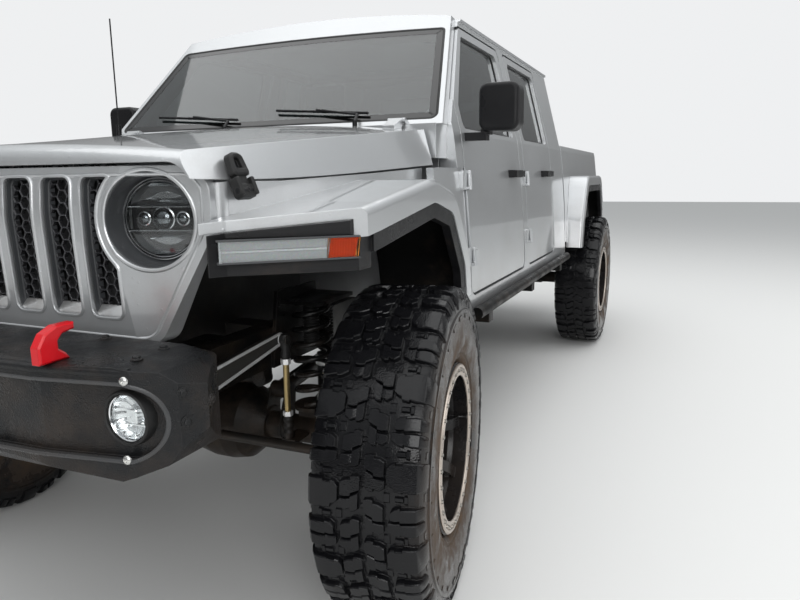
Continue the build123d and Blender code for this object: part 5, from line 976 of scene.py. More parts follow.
# %% [markdown]
# ## Slots: rims, sleeves and honeycomb
# Each of the seven slots has a soft raised rim in body colour, a dark moulded sleeve
# behind it, a sloped ledge at its foot and a honeycomb of thin walls deep inside. The
# honeycomb is one lattice that runs behind all slots, so its cells line up across the
# bars as they do on a moulded grille.

# %% Slot rims and sleeves
SLOTS = [index * 0.125 for index in range(-3, 4)]
rims, sleeves = Shape(), Shape()


def slot_rings(middle, *rings):
    """Loops round a slot, each grown and stood proud of the face by its own amounts."""
    return [[(face_x(y, z, -proud), y, z) for y, z in slot_outline(middle, grow)]
            for grow, proud in rings]


for middle in SLOTS:
    rims.loft(slot_rings(middle, (0.0095, -0.003), (0.0085, 0.0004), (0.0062, 0.0026), (0.0030, 0.0034),
                         (0.0006, 0.0024), (-0.0006, -0.0005), (-0.0006, -0.006)), wrap=True)
    sleeves.loft(slot_rings(middle, (0.0004, -0.0065), (-0.0012, -0.0065), (-0.0022, -0.014),
                            (-0.0024, -0.018), (-0.0046, -0.0190), (-0.0058, -0.034), (0.0020, -0.034)),
                 wrap=True)
    ledge = [(face_x(middle, 0.934, deep), z) for deep, z in
             ((0.004, 0.933), (0.006, 0.9385), (0.022, 0.9560), (0.026, 0.933))]
    rims.loft([[(x, middle + across, z - (drop if z > 0.935 else 0)) for x, z in ledge]
               for across, drop in ((-0.0415, 0.0015), (-0.0400, 0.0), (0.0400, 0.0), (0.0415, 0.0015))],
              finish=1)
rims.piece("grille_slot_rims", [body_silver, dusty_silver], "silver_paint", crease=40)
sleeves.piece("grille_slot_sleeves", [slot_grey], "black_plastic")
print("slots:", len(SLOTS))

# %% Honeycomb
CELL, WALL, COMB_DEEP, COMB_THICK = 0.0165, 0.0016, 0.0330, 0.0120
HALF_WIDE, HALF_TALL, LAMP_REACH = 0.052, 0.172, 0.128
hexagon = [(CELL * math.cos(k * math.pi / 3), CELL * math.sin(k * math.pi / 3)) for k in range(6)]
comb = Shape()
for column in range(-19, 20):
    y = column * CELL * 1.5
    near = min(SLOTS, key=lambda middle: abs(middle - y))
    if abs(y - near) > HALF_WIDE:
        continue
    for row in range(-7, 8):
        z = SLOT_Z + (row + (0.5 if column % 2 else 0.0)) * CELL * math.sqrt(3)
        if abs(z - SLOT_Z) > HALF_TALL or math.hypot(abs(y) - LAMP_Y, z - LAMP_Z) < LAMP_REACH:
            continue
        place = place_on((face_x(0, z, COMB_DEEP), y, z), (1, 0, 0))
        comb.frame(hexagon, inset(hexagon, WALL), 0.0, COMB_THICK, 0.0006, place)
comb.piece("grille_honeycomb", [comb_black], "black_plastic")
print("honeycomb:", len(comb.faces), "faces")

# %% [markdown]
# ## Round head lamps
# The lamp sits deep in a grey tube. From the outside in: a soft rim on the grille, the
# tube, two bright rings, a crowned clear lens, and behind it two chrome bowls above and
# below a dark band with three projector eyes. Turned profiles make all of it but the
# bowls and the band.

# %% Head lamps
BOWL_RADIUS, BOWL_LOW, BOWL_HIGH, BOWL_BACK = 0.0830, 0.0285, 0.0800, -0.0895
# Each projector eye's place across the lamp, and its radius
lamp_eyes = ((0.0, 0.0235), (0.047, 0.0125), (-0.047, 0.0125))


def lamp_ring(place, radius, proud, count=96):
    """Circle in the lamp's own plane, pushed along its axis onto the grille's face."""
    axis = place.to_3x3() @ Vector((0, 0, 1))
    points = []
    for c, s in circle(count):
        spot = place @ Vector((radius * c, radius * s, 0))
        for _ in range(4):
            spot += axis * ((face_x(spot.y, spot.z, -proud) - spot.x) / axis.x)
        points.append(spot)
    return points


def build_lamp_bowls(place):
    """Chrome bowls above and below, and a dark band with the eyes between them."""
    inside, steps = Shape(), [2 * k / 16 - 1 for k in range(17)]
    for sign in (1, -1):
        loops = []
        for step in range(9):
            share = step / 8
            depth = -0.0660 - 0.0200 * math.sin(math.pi * share) ** 0.7
            low, high = sign * BOWL_LOW, sign * BOWL_HIGH
            level = low + (high - low) * share
            half = math.sqrt(max(1e-6, BOWL_RADIUS ** 2 - level ** 2))
            loops.append([(half * t, level, depth - 0.006 * math.cos(math.pi * t / 2)) for t in steps]
                         + [(half * -t, level, BOWL_BACK) for t in steps])
        inside.loft(loops, place)
    inside.plate(box_outline(0.080, -0.0250, 0.0250), -0.0890, -0.0740, 0.002, place, 1)
    for level in (0.0268, -0.0268):
        half = math.sqrt(0.0835 ** 2 - level ** 2)
        inside.plate(box_outline(half, level - 0.0014, level + 0.0014), -0.0880, -0.0600, 0.0006, place)
    for across, radius in lamp_eyes:
        eye = place @ Matrix.Translation((across, 0, -0.0745))
        inside.turn([(radius + 0.004, 0.0), (radius + 0.004, 0.004), (radius + 0.001, 0.005),
                     (radius, 0.003), (radius, 0.0)], 40, eye, wrap=True)
        inside.turn([(radius * math.cos(a), 0.002 + 0.55 * radius * math.sin(a))
                     for a in (0, 0.3, 0.6, 0.9, 1.2, 1.57)] + [(0.0, 0.0)], 32, eye, finish=2)
    return inside


def lens_profile(radius, depth, bulge, steps, thick):
    """Crowned lens: its front from the middle outwards, then its back."""
    crown = [(radius * k / steps, depth - bulge * (k / steps) ** 2) for k in range(steps + 1)]
    return crown + [(r, z - thick) for r, z in reversed(crown)]


for label, side in SIDES:
    x = NOSE - BOW - (LAMP_Y - SWEEP_Y) * math.tan(SWEEP)
    place = place_on((x, side * LAMP_Y, LAMP_Z), (math.cos(SWEEP), side * math.sin(SWEEP), 0))
    rim, tube, rings, lens = Shape(), Shape(), Shape(), Shape()
    rim.loft([lamp_ring(place, radius, proud) for radius, proud in (
        (0.1165, -0.003), (0.1155, 0.0005), (0.1125, 0.0028), (0.1085, 0.0030), (0.1056, 0.0008),
        (0.1050, -0.004), (0.1058, -0.008))], wrap=True)
    tube.turn([(0.1056, -0.006), (0.1040, -0.006), (0.1030, -0.008), (0.1010, -0.020), (0.0985, -0.056),
               (0.0960, -0.060), (0.0940, -0.070), (0.0600, -0.090), (0.0, -0.091), (0.0, -0.0915),
               (0.1056, -0.0915)], 96, place)
    for outer, inner, high in ((0.0945, 0.0890, -0.0560), (0.0885, 0.0840, -0.0590)):
        rings.turn([(outer, high - 0.010), (outer, high - 0.002), (outer - 0.0015, high),
                    (inner + 0.0015, high), (inner, high - 0.002), (inner, high - 0.010)],
                   96, place, wrap=True)
    lens.turn(lens_profile(0.0838, -0.0480, 0.0085, 10, 0.0025), 80, place)
    rim.piece("lamp_rim_" + label, [body_silver], "silver_paint", crease=40)
    tube.piece("lamp_tube_" + label, [slot_grey], "black_plastic",
               replaces=["head_lamps"] if side > 0 else ())
    rings.piece("lamp_rings_" + label, [dark_chrome], "front_lamp")
    build_lamp_bowls(place).piece("lamp_bowls_" + label, [dark_chrome, moulded_black, eye_glass],
                                  "front_lamp")
    lens.piece("lamp_lens_" + label, [lamp_glass], "front_lamp")
print("head lamps ready")

# %% [markdown]
# ## Bead round the grille
# A fine bead runs parallel to the panel's edge, down the sides and round the lower
# corners. It is one closed ribbon that follows the bent face.

# %% Grille bead
grille_edge = [(0.640, 1.270), (0.640, 1.120), (0.575, 1.000), (0.505, 0.868)]
grille_edge += [(-y, z) for y, z in reversed(grille_edge)]
edge_path = subdivided(rounded_path(grille_edge, 0.062), 0.02)
bead = Shape()
bead.loft([[(face_x(y, z, -proud), y, z) for y, z in inset(edge_path, depth)]
           for depth, proud in ((0.0145, -0.002), (0.0155, 0.0006), (0.0175, 0.0022), (0.0200, 0.0016),
                                (0.0225, 0.0003), (0.0235, -0.002))], wrap=True)
bead.piece("grille_bead", [body_silver], "silver_paint", crease=45)
print("bead points:", len(edge_path))

# %% [markdown]
# ## Lamp strips on the fenders
# The long lamp in each fender is a clear bar with two frosted rows, a bright line
# between them, and an amber marker at its outer end. The lens is a solid of clear
# plastic over a pale ribbed reflector; the amber part is cut on a slant.

# %% Lamp strips
STRIP_LOW, STRIP_HIGH = 1.064, 1.116
strip_start, strip_end = Vector((FRONT_AXLE + 0.604, 0.700)), Vector((FRONT_AXLE + 0.398, 0.926))
strip_run = (strip_end - strip_start).normalized()


def strip_block(shape, side, along, deep, z, finish=0, slant=0.0, bevel=0.0015):
    """Bevelled block between two shares of the strip's length, counted from the grille."""
    loops = []
    for share, trim in ((0.0, bevel), (0.0, 0.0), (1.0, 0.0), (1.0, bevel)):
        loop = []
        for d, h in ((deep[0], z[0]), (deep[1], z[0]), (deep[1], z[1]), (deep[0], z[1])):
            up = (h - z[0]) / (z[1] - z[0])
            place = along[0] + (along[1] - along[0]) * share + slant * (up - 0.5)
            d += trim if d == deep[0] else -trim
            h += trim if h == z[0] else -trim
            spot = strip_start.lerp(strip_end, place) + Vector((-strip_run.y, strip_run.x)) * d
            loop.append((spot.x, side * spot.y, h))
        loops.append(loop)
    shape.loft(loops, finish=finish)


for label, side in SIDES:
    shape, lens = Shape(), Shape()
    # Reflector, two frosted rows with a bright line between them, the marker and two edges
    strip_block(shape, side, (0.015, 0.985), (0.020, 0.014), (STRIP_LOW + 0.003, STRIP_HIGH - 0.003), 1)
    for low, high in ((STRIP_LOW + 0.004, STRIP_LOW + 0.0225), (STRIP_LOW + 0.0290, STRIP_HIGH - 0.004)):
        strip_block(shape, side, (0.03, 0.755), (0.014, 0.0065), (low, high), 2)
    strip_block(shape, side, (0.03, 0.755), (0.014, 0.0045), (STRIP_LOW + 0.0235, STRIP_LOW + 0.0280), 3,
                bevel=0.0008)
    strip_block(shape, side, (0.775, 0.975), (0.014, 0.0050), (STRIP_LOW + 0.004, STRIP_HIGH - 0.004), 4,
                slant=0.03)
    for level in (STRIP_LOW + 0.0005, STRIP_HIGH - 0.0045):
        strip_block(shape, side, (0.0, 1.0), (0.014, 0.0005), (level, level + 0.004), 5, bevel=0.0008)
    for along, finish, slant in (((0.008, 0.765), 0, 0.0), ((0.772, 0.992), 1, 0.02)):
        strip_block(lens, side, along, (0.0042, 0.0012), (STRIP_LOW + 0.001, STRIP_HIGH - 0.001), finish, slant)
    shape.piece("lamp_strip_" + label, [slot_grey, chrome, frosted, bright_line, amber_body, slot_grey],
                "front_lamp", replaces=["front_lamps"] if side > 0 else ())
    lens.piece("strip_lens_" + label, [lamp_glass, amber_glass], "front_lamp")
print("lamp strips ready")

# %% [markdown]
# ## Fog lamps
# Each fog lamp is a small clear lens in a bright ring, sunk in the bumper's end. The
# bowl behind it has a chrome cup with upright flutes and a square bulb shield.

# %% Fog lamps
BUMPER_X = FRONT_AXLE + 0.854
FOG_Y, FOG_Z = 0.622, 0.792
FOG_X = BUMPER_X - 0.044 + (0.645 - FOG_Y) * 0.15


def fluted(radius, depth):
    """One loop of the cup; flutes stand on its sloped side alone."""
    flute = 0.0010 if depth > -0.043 and radius < 0.045 else 0.0
    return [(radius * c, radius * s, depth + (flute if k % 6 < 3 else -flute))
            for k, (c, s) in enumerate(circle(72))]


for label, side in SIDES:
    place = place_on((FOG_X, side * FOG_Y, FOG_Z), (1, 0, 0))
    ring, glass = Shape(), Shape()
    ring.turn([(0.0545, -0.048), (0.0545, -0.010), (0.0520, -0.0070), (0.0490, -0.0095), (0.0480, -0.0200),
               (0.0480, -0.048)], 64, place, wrap=True)
    ring.turn([(0.0478, -0.024), (0.0478, -0.0150), (0.0462, -0.0135), (0.0445, -0.0150), (0.0445, -0.024)],
              64, place, 1, wrap=True)
    ring.loft([fluted(radius, depth) for radius, depth in (
        (0.0440, -0.0220), (0.0400, -0.0300), (0.0300, -0.0380), (0.0150, -0.0430), (0.0020, -0.0440),
        (0.0020, -0.0460), (0.0460, -0.0460), (0.0460, -0.0220))], place, 1, wrap=True)
    ring.plate(rounded(0.026, 0.030, 0.004, 2), -0.0440, -0.0250, 0.002, place, 1)
    ring.plate(rounded(0.070, 0.004, 0.001, 1), -0.0400, -0.0270, 0.0008,
               place @ Matrix.Translation((0, -0.017, 0)), 1)
    glass.turn(lens_profile(0.0446, -0.0150, 0.0045, 8, 0.002), 56, place)
    ring.piece("fog_lamp_" + label, [seal_rubber, chrome], "front_lamp")
    glass.piece("fog_lens_" + label, [lamp_glass], "front_lamp")
print("fog lamps ready")

# %% [markdown]
# ## Fittings of the front bumper
# The bumper is a folded steel box with bolted ends. Its shelf ends in a raised lip over
# the face, its sunk panel has a raised rim whose lighter grey is a painted highlight, and
# bolts hold the end caps. Bolt heads are placed once on the left and mirrored to the right.

# %% Bumper fittings
bumper_plan = ((0.0, 0.0), (0.200, 0.0), (0.430, 0.008), (0.645, 0.044), (0.717, 0.092), (0.735, 0.155))
hex_heads = [
    # X from the front axle, Y, Z, the way the head looks, its radius
    (0.6417, 0.4116, 0.8949, (0, 0, 1), 0.0090), (0.7523, 0.6105, 0.8949, (0, 0, 1), 0.0085),
    (0.6677, 0.6008, 0.8949, (0, 0, 1), 0.0085), (0.7541, 0.7193, 0.8400, (0.27, 0.96, 0), 0.0080),
    (0.7496, 0.7206, 0.7814, (0.27, 0.96, 0), 0.0080), (0.6900, 0.7340, 0.8100, (0.0, 1, 0), 0.0080),
]


def bumper_x(y):
    """X of the bumper's front at a place across it."""
    y = abs(y)
    for (y0, x0), (y1, x1) in zip(bumper_plan, bumper_plan[1:]):
        if y <= y1:
            break
    return BUMPER_X - (x0 + (x1 - x0) * (y - y0) / (y1 - y0))


bolts, lip = Shape(), Shape()
for side in (1, -1):
    for x, y, z, (nx, ny, nz), radius in hex_heads:
        bolts.bolt(radius, 0.0075, place_on((FRONT_AXLE + x, side * y, z), (nx, side * ny, nz)))
    for y, z in ((0.6335, 0.8700), (0.6269, 0.7130), (0.3000, 0.7130)):
        place = place_on((bumper_x(y) - 0.0006, side * y, z), (0.99, side * 0.17, 0))
        bolts.turn([(0.0100, -0.001), (0.0098, 0.0010), (0.0080, 0.0034), (0.0045, 0.0050), (0.0030, 0.0052),
                    (0.0030, 0.0034), (0.0, 0.0034)], 28, place, 1)
bolts.piece("bumper_bolts", [bumper_black, bolt_bright], "plated_steel")

LIP_LOW, LIP_HIGH, LIP_END, LIP_STEPS = 0.8765, 0.8935, 0.640, 60
loops = []
for k in range(LIP_STEPS + 1):
    y = 2 * LIP_END * k / LIP_STEPS - LIP_END
    x = bumper_x(y)
    out = x + 0.0035 * min(1.0, (LIP_END - abs(y)) / 0.02)
    loops.append([(x - 0.014, y, LIP_HIGH - 0.0015), (x - 0.006, y, LIP_HIGH),
                  (out - 0.002, y, LIP_HIGH - 0.004), (out, y, LIP_HIGH - 0.007),
                  (out - 0.0005, y, LIP_LOW + 0.003), (out - 0.003, y, LIP_LOW), (x - 0.006, y, LIP_LOW)])
lip.loft(loops)
# Raised rim of the sunk panel, which is long with round ends; its lighter grey finish is a painted highlight
PANEL_Y, PANEL_Z, PANEL_ROUND = 0.622, 0.786, 0.0745
panel = subdivided([(math.copysign(PANEL_Y, c) + PANEL_ROUND * c, PANEL_Z + PANEL_ROUND * s)
                    for c, s in circle(96)], 0.03)
lip.loft([[(bumper_x(y) + out, y, z) for y, z in inset(panel, -shift)]
          for shift, out in ((-0.0010, -0.012), (-0.0012, 0.0004), (0.0010, 0.0020), (0.0042, 0.0022),
                             (0.0068, 0.0002), (0.0070, -0.012))], finish=1, wrap=True)
lip.piece("bumper_lip", [bumper_black, bumper_rim_painted_highlight], "black_plastic", crease=40)
print("bumper fittings ready")

# %% [markdown]
# ## Hood latches
# A rubber T-shaped strap holds each side of the hood. Its looped head hooks over a
# bracket on the hood, and its foot pivots on a screw in the body. The latch stays with
# the hood here, as its solid does.

# %% Hood latches
LATCH_LEAN, LATCH_SPREAD = math.atan2(0.034, 0.084), 1.25
LATCH_PLACE = Vector((FRONT_AXLE + 0.467, 0.6556, 1.240))


def build_latch(side):
    shape = Shape()
    out = Vector((0.0, math.cos(LATCH_LEAN), math.sin(LATCH_LEAN)))
    up = Vector((0.0, -math.sin(LATCH_LEAN), math.cos(LATCH_LEAN)))

    def at(across, high, proud):
        spot = LATCH_PLACE + Vector((across * LATCH_SPREAD, 0, 0)) + up * high + out * proud
        return (spot.x, side * spot.y, spot.z)

    def level(outline, proud):
        return [at(across, high, proud) for across, high in outline]

    def slab(outline, low, high, edge, finish=0):
        shape.loft([level(outline, low), level(outline, high - edge), level(inset(outline, edge), high)],
                   finish=finish)

    # Looped head and the bracket in it
    outer = rounded_path(box_outline(0.0240, 0.000, 0.0540, 0.0180), [0.008, 0.008, 0.015, 0.015], 5)
    inner = rounded_path(box_outline(0.0100, 0.018, 0.0420, 0.0072), [0.004, 0.004, 0.0065, 0.0065], 5)
    shape.loft([level(outer, 0.004), level(outer, 0.019), level(inset(outer, 0.005), 0.024),
                level(inset(inner, -0.005), 0.024), level(inner, 0.019), level(inner, 0.004)], wrap=True)
    slab(rounded_path(box_outline(0.0165, 0.008, 0.047, 0.0125), 0.006, 4), 0.001, 0.010, 0.002, 1)
    # Strap, its pivot block, two cheeks, the pin and the screw
    slab(rounded_path(box_outline(0.0150, -0.040, 0.010, 0.0170), 0.005, 4), 0.002, 0.016, 0.003)
    slab(rounded_path(box_outline(0.0240, -0.050, -0.018), 0.008, 4), 0.000, 0.020, 0.004)
    for across in (-0.0205, 0.0205):
        cheek = [(across + a, b) for a, b in box_outline(0.0045, -0.046, -0.004)]
        slab(rounded_path(cheek, 0.0035, 3), 0.0, 0.026, 0.002)
    shape.bar([at(-0.0255, -0.034, 0.014), at(0.0255, -0.034, 0.014)], 0.0070, 16, finish=1)
    shape.turn([(0.0062, 0.0), (0.0062, 0.0012), (0.0050, 0.0026), (0.0026, 0.0026), (0.0026, 0.0012),
                (0.0, 0.0012)], 24, place_on(at(0.0, -0.034, 0.0198), (0.0, side * out.y, out.z)), 1)
    return shape


for label, side in SIDES:
    build_latch(side).piece("hood_latch_" + label, [seal_rubber, moulded_black], "black_rubber", "hood",
                            ["hood_latches"] if side > 0 else (), crease=35)
print("hood latches ready")

# %% [markdown]
# ## Sway bar arms and links
# The arms of the sway bar are machined billet: bright edges round a dark sunk pocket.
# From each arm a plated link goes down to the axle, with a jam nut and a rubber boot at
# each end. These are laid over the plain arm and rod of the solids.

# %% Sway arm faces and links
LINK_X, LINK_Y, ARM_FACE_Y = FRONT_AXLE + 0.106, 0.526, 0.507
arm_front, arm_rear = Vector((FRONT_AXLE + 0.440, 0.735)), Vector((LINK_X, 0.779))


def arm_band(grow):
    """Tapered loop round both ends of the arm, set in by grow, as X and Z."""
    run = (arm_rear - arm_front).normalized()
    normal = Vector((-run.y, run.x))
    points = []
    for centre, radius, sense in ((arm_front, 0.032 - grow, -1), (arm_rear, 0.020 - grow, 1)):
        for angle in [math.pi * (k / 12 - 0.5) for k in range(13)]:
            direction = run * math.cos(angle) * sense + normal * math.sin(angle) * sense
            points.append(centre + direction * radius)
    return points


for label, side in SIDES:
    shape, link = Shape(), Matrix.Translation((LINK_X, side * LINK_Y, 0))

    def arm_loops(*rows):
        return [[(point.x, side * (ARM_FACE_Y + out), point.y) for point in arm_band(grow)]
                for grow, out in rows]

    shape.loft(arm_loops((0.0005, -0.001), (0.0005, 0.0030), (0.0018, 0.0045), (0.0070, 0.0045),
                         (0.0085, 0.0030), (0.0085, -0.001)), wrap=True)
    shape.loft(arm_loops((0.0092, -0.001), (0.0092, 0.0008)), finish=1)
    shape.bar([(LINK_X, side * LINK_Y, z) for z in (0.790, 0.492)], 0.0094, 16, finish=2)
    for low, high in ((0.706, 0.722), (0.548, 0.562)):
        shape.turn([(0.0150, low), (0.0150, high)], 6, link, caps=True)
    for low, high in ((0.722, 0.795), (0.486, 0.548)):
        folds = [(0.0120 + 0.0035 * (k % 2), low + (high - low) * k / 6) for k in range(7)]
        shape.turn(folds, 24, link, 3, caps=True)
    for x, out, z, radius in ((LINK_X, 0.5125, 0.779, 0.0115), (FRONT_AXLE + 0.440, 0.5115, 0.735, 0.0150)):
        shape.bolt(radius, 0.010, place_on((x, side * out, z), (0, side, 0)))
    shape.piece("sway_arm_" + label, [billet, pocket_grey, gold_zinc, seal_rubber], "forged_steel", crease=35)
print("sway arms ready")

# %% [markdown]
# ## Shock collars and spring boots
# Round each shock there is a dust boot with folds at the top and a threaded collar on
# the body. They fill the coil with the dark clutter that the real one shows.

# %% Shock details
collars = Shape()
for x, y, low, high in ((FRONT_AXLE - 0.142, 0.520, 0.690, 0.842), (FRONT_AXLE - 0.030, 0.535, 0.735, 0.862)):
    folds = [(0.0270 if k % 2 else 0.0220, low + (high - low) * k / 30) for k in range(31)]
    for side in (1, -1):
        collars.turn(folds + [(0.0120, high), (0.0120, low)], 32, Matrix.Translation((x, side * y, 0)),
                     wrap=True)
for side in (1, -1):
    place = Matrix.Translation((FRONT_AXLE - 0.142, side * 0.520, 0))
    for profile in ([(0.0312, 0.474), (0.0345, 0.480), (0.0345, 0.492), (0.0312, 0.498)],
                    [(0.0312, 0.640), (0.0350, 0.644), (0.0350, 0.672), (0.0312, 0.676)]):
        collars.turn(profile, 36, place, 1, wrap=True)
collars.piece("shock_boots", [seal_rubber, billet], "shock_paint")
print("shock boots ready")

# %% [markdown]
# ## Seats
# Seats are soft, so the solids' blocks must not be seen. Each cushion starts as a
# coarse closed shape with raised bolsters and sunk channels, and is smoothed by a
# subdivision surface. The crown comes from the shape itself, higher in the middle of
# each panel than at its seams.

# %% Seat cushions
SEAT_X, SEAT_Y = FRONT_AXLE - 1.250, 0.380


def cushion(shape, place, width, length, depth, bolster, channels):
    """Crowned pad: local X across, Y along, Z up; its sides pull in between corners."""
    nx, ny = 12, 6 * channels
    top, bottom = [], []
    for j in range(ny + 1):
        v = j / ny * 2 - 1
        for i in range(nx + 1):
            u = i / nx * 2 - 1
            edge = max(0.0, (1 - abs(u) ** 6) * (1 - abs(v) ** 8))
            crown = depth * (0.62 + 0.38 * edge ** 0.5)
            side = bolster * max(0.0, (abs(u) - 0.55) / 0.45) * edge ** 0.35 * (1.6 - abs(u))
            sunk = 0.006 if j % 6 == 0 and 0 < j < ny and abs(u) < 0.62 else 0
            sunk += 0.005 if i in (2, 10) and 1 < j < ny - 1 else 0
            sunk -= 0.003 * math.sin(math.pi * ((j % 6) / 6.0)) if abs(u) < 0.6 else 0
            x = u * width / 2 * (1.0 - 0.035 * (1 - v * v))
            y = v * length / 2 * (1.0 - 0.025 * (1 - u * u))
            top.append((x, y, crown + side - sunk))
            bottom.append((x * 0.985, y * 0.985, 0.0))
    base, wide, half = len(shape.verts), nx + 1, (nx + 1) * (ny + 1)
    shape.verts += [place @ Vector(point) for point in top + bottom]
    made = []
    for a in [base + j * wide + i for j in range(ny) for i in range(nx)]:
        b = a + half
        made += [[a, a + 1, a + 1 + wide, a + wide], [b, b + wide, b + 1 + wide, b + 1]]
    rim = list(range(nx)) + [nx + j * wide for j in range(ny)]
    rim += [ny * wide + nx - i for i in range(nx)] + [(ny - j) * wide for j in range(ny)]
    made += [[base + b, base + a, base + a + half, base + b + half] for a, b in neighbours(rim)]
    shape.add(made, 0)


def tilted(origin, along, up):
    """Matrix whose local Y runs along a direction and whose local Z leans to up."""
    y = Vector(along).normalized()
    x = y.cross(Vector(up)).normalized()
    return axes_at(origin, x, y, x.cross(y))


def seat_piece(name, pads):
    """Seat of pads: origin, along, up, width, length, depth, bolster, channels."""
    shape = Shape()
    for origin, along, up, *sizes in pads:
        cushion(shape, tilted(origin, along, up), *sizes)
    made = shape.piece(name, [seat_cloth, cabin_black], "seat_fabric")
    smooth = made.modifiers.new("soft", "SUBSURF")
    smooth.levels = smooth.render_levels = 2
    print("soft:", name)


for label, side in SIDES:
    y = side * SEAT_Y
    seat_piece("front_seat_" + label, [
        ((SEAT_X - 0.250, y, 0.980), (1, 0, 0.04), (0, 0, 1), 0.460, 0.480, 0.105, 0.030, 4),
        ((SEAT_X - 0.520, y, 1.330), (-0.07, 0, 1), (1, 0, 0.07), 0.420, 0.500, 0.080, 0.035, 5),
        ((SEAT_X - 0.558, y, 1.685), (-0.05, 0, 1), (1, 0, 0.05), 0.245, 0.140, 0.070, 0.0, 1)])
for index, y in enumerate((-0.300, 0.300)):
    seat_piece("rear_bench_%d" % (index + 1), [
        ((FRONT_AXLE - 2.360, y, 0.985), (1, 0, 0.03), (0, 0, 1), 0.575, 0.440, 0.100, 0.012, 3),
        ((FRONT_AXLE - 2.655, y, 1.330), (-0.02, 0, 1), (1, 0, 0.02), 0.575, 0.540, 0.075, 0.012, 4)])


def footing(middle, back, front, half, z):
    return [(back, middle - half, z), (front, middle - half, z), (front, middle + half, z),
            (back, middle + half, z)]


frames = Shape()
for y in (SEAT_Y, -SEAT_Y):
    frames.loft([footing(y, SEAT_X - 0.46, SEAT_X - 0.02, 0.19, 0.76),
                 footing(y, SEAT_X - 0.47, SEAT_X - 0.03, 0.21, 0.93),
                 footing(y, SEAT_X - 0.48, SEAT_X - 0.02, 0.22, 0.985)])
    for across in (-0.045, 0.045):
        frames.bar([(SEAT_X - 0.540, y + across, 1.54), (SEAT_X - 0.548, y + across, 1.66)], 0.006, 12,
                   finish=1)
frames.loft([footing(0.0, FRONT_AXLE - 2.58, FRONT_AXLE - 2.14, 0.58, z) for z in (0.76, 0.90, 0.985)])
frames.piece("seat_frames", [cabin_black, bolt_metal], "cabin_plastic", replaces=["seats"])

# %% [markdown]
# ## Borders and seals of the glass
# Every pane sits in a rubber seal, and the windshield and rear window also have a black
# baked border that hides the glue. The panes are flat, so each seal can be a ring that
# follows the pane's own outline, found from the solid's mesh as the hull of its points
# in the pane's plane.

# %% Panes and their outlines
CABIN = Vector((FRONT_AXLE - 1.9, 0.0, 1.5))


def islands(mesh):
    """Groups of vertices that hang together, each with its largest face's normal."""
    work = bmesh.new()
    work.from_mesh(mesh)
    bmesh.ops.remove_doubles(work, verts=work.verts, dist=1e-6)
    left, groups = set(work.verts), []
    # Vertices are taken in the mesh's own order, so that every run gives the same groups
    for seed in work.verts:
        if seed not in left:
            continue
        left.remove(seed)
        group, edge = [seed], [seed]
        while edge:
            for link in edge.pop().link_edges:
                for other in link.verts:
                    if other in left:
                        left.remove(other)
                        group.append(other)
                        edge.append(other)
        faces = [face for vert in group for face in vert.link_faces]
        normal = max(faces, key=lambda face: face.calc_area()).normal.copy()
        groups.append(([vert.co.copy() for vert in group], normal))
    work.free()
    return groups


def hull(points):
    """Convex outline of flat points, anticlockwise."""
    points = sorted(set((round(x, 5), round(y, 5)) for x, y in points))

    def half(order):
        chain = []
        for p in order:
            while len(chain) > 1:
                (ax, ay), (bx, by) = chain[-2], chain[-1]
                if (bx - ax) * (p[1] - ay) - (by - ay) * (p[0] - ax) > 1e-9:
                    break
                chain.pop()
            chain.append(p)
        return chain[:-1]

    return half(points) + half(points[::-1])


def panes(name):
    """Place and outline of each pane of a node, seen from outside."""
    found = []
    for points, normal in islands(nodes[name].data):
        middle = sum(points, Vector()) / len(points)
        if normal.dot(middle - CABIN) < 0:
            normal = -normal
        top = max(point.dot(normal) for point in points)
        place = place_on(middle + normal * (top - middle.dot(normal)), normal)
        flat = place.inverted()
        outline = hull([tuple((flat @ point)[:2]) for point in points])
        found.append((place, subdivided(outline, 0.05)))
    return found


def ring_on(shape, place, outline, rows, finish=0):
    """Flat ring from rows of how far inwards and how high."""
    shape.loft(levels(*[(inset(outline, shift), height) for shift, height in rows]), place, finish, wrap=True)


def seal(shape, place, outline, wide, proud):
    ring_on(shape, place, outline, (
        (-0.0030, -0.002), (-0.0030, proud * 0.6), (-0.0005, proud), (wide * 0.7, proud * 0.9),
        (wide, proud * 0.35), (wide, -0.0005)))


CORNERS = ("front_left", "front_right", "rear_left", "rear_right")
for corner in CORNERS:
    shape = Shape()
    for place, outline in panes("glass_" + corner):
        seal(shape, place, outline, 0.010, 0.004)
    shape.piece("window_seal_" + corner, [seal_rubber], "black_rubber", "door_" + corner, crease=40)
shape = Shape()
for place, outline in panes("fixed_glass"):
    border = 0.034 if (place.translation - CABIN).length > 0.5 else 0.016
    ring_on(shape, place, outline, ((0.0, 0.0001), (0.0, 0.0005), (border, 0.0005), (border, 0.0001)), 1)
    seal(shape, place, outline, 0.008, 0.003)
shape.piece("fixed_glass_borders", [seal_rubber, frit_black], "black_rubber", crease=40)
print("seals:", len(CORNERS) + 1)

# %% [markdown]
# ## Mirrors
# The mirror glass faces back, set in its housing with a thin dark gap.

# %% Mirror glass
MIRROR_X, MIRROR_Y, MIRROR_Z = FRONT_AXLE - 0.8534, 0.914, 1.4925
for label, side in SIDES:
    low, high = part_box("fittings_front_" + label)
    shape, place = Shape(), place_on((MIRROR_X, side * MIRROR_Y, MIRROR_Z), (-1, 0, 0))
    shape.frame(rounded(0.146, 0.168, 0.033), rounded(0.128, 0.150, 0.026), 0.0, 0.0055, 0.002, place)
    shape.plate(rounded(0.127, 0.149, 0.026), 0.0, 0.0030, 0.001, place, 1)
    shape.piece("mirror_glass_" + label, [moulded_black, chrome], "black_plastic", "door_front_" + label)
    print("mirror on fittings from Y", round(low[1], 3), "to", round(high[1], 3))

# %% [markdown]
# ## Tail lamps
# The tail lamps are upright boxes with a black bezel, a red lens above and below and a
# clear reverse lamp between them.

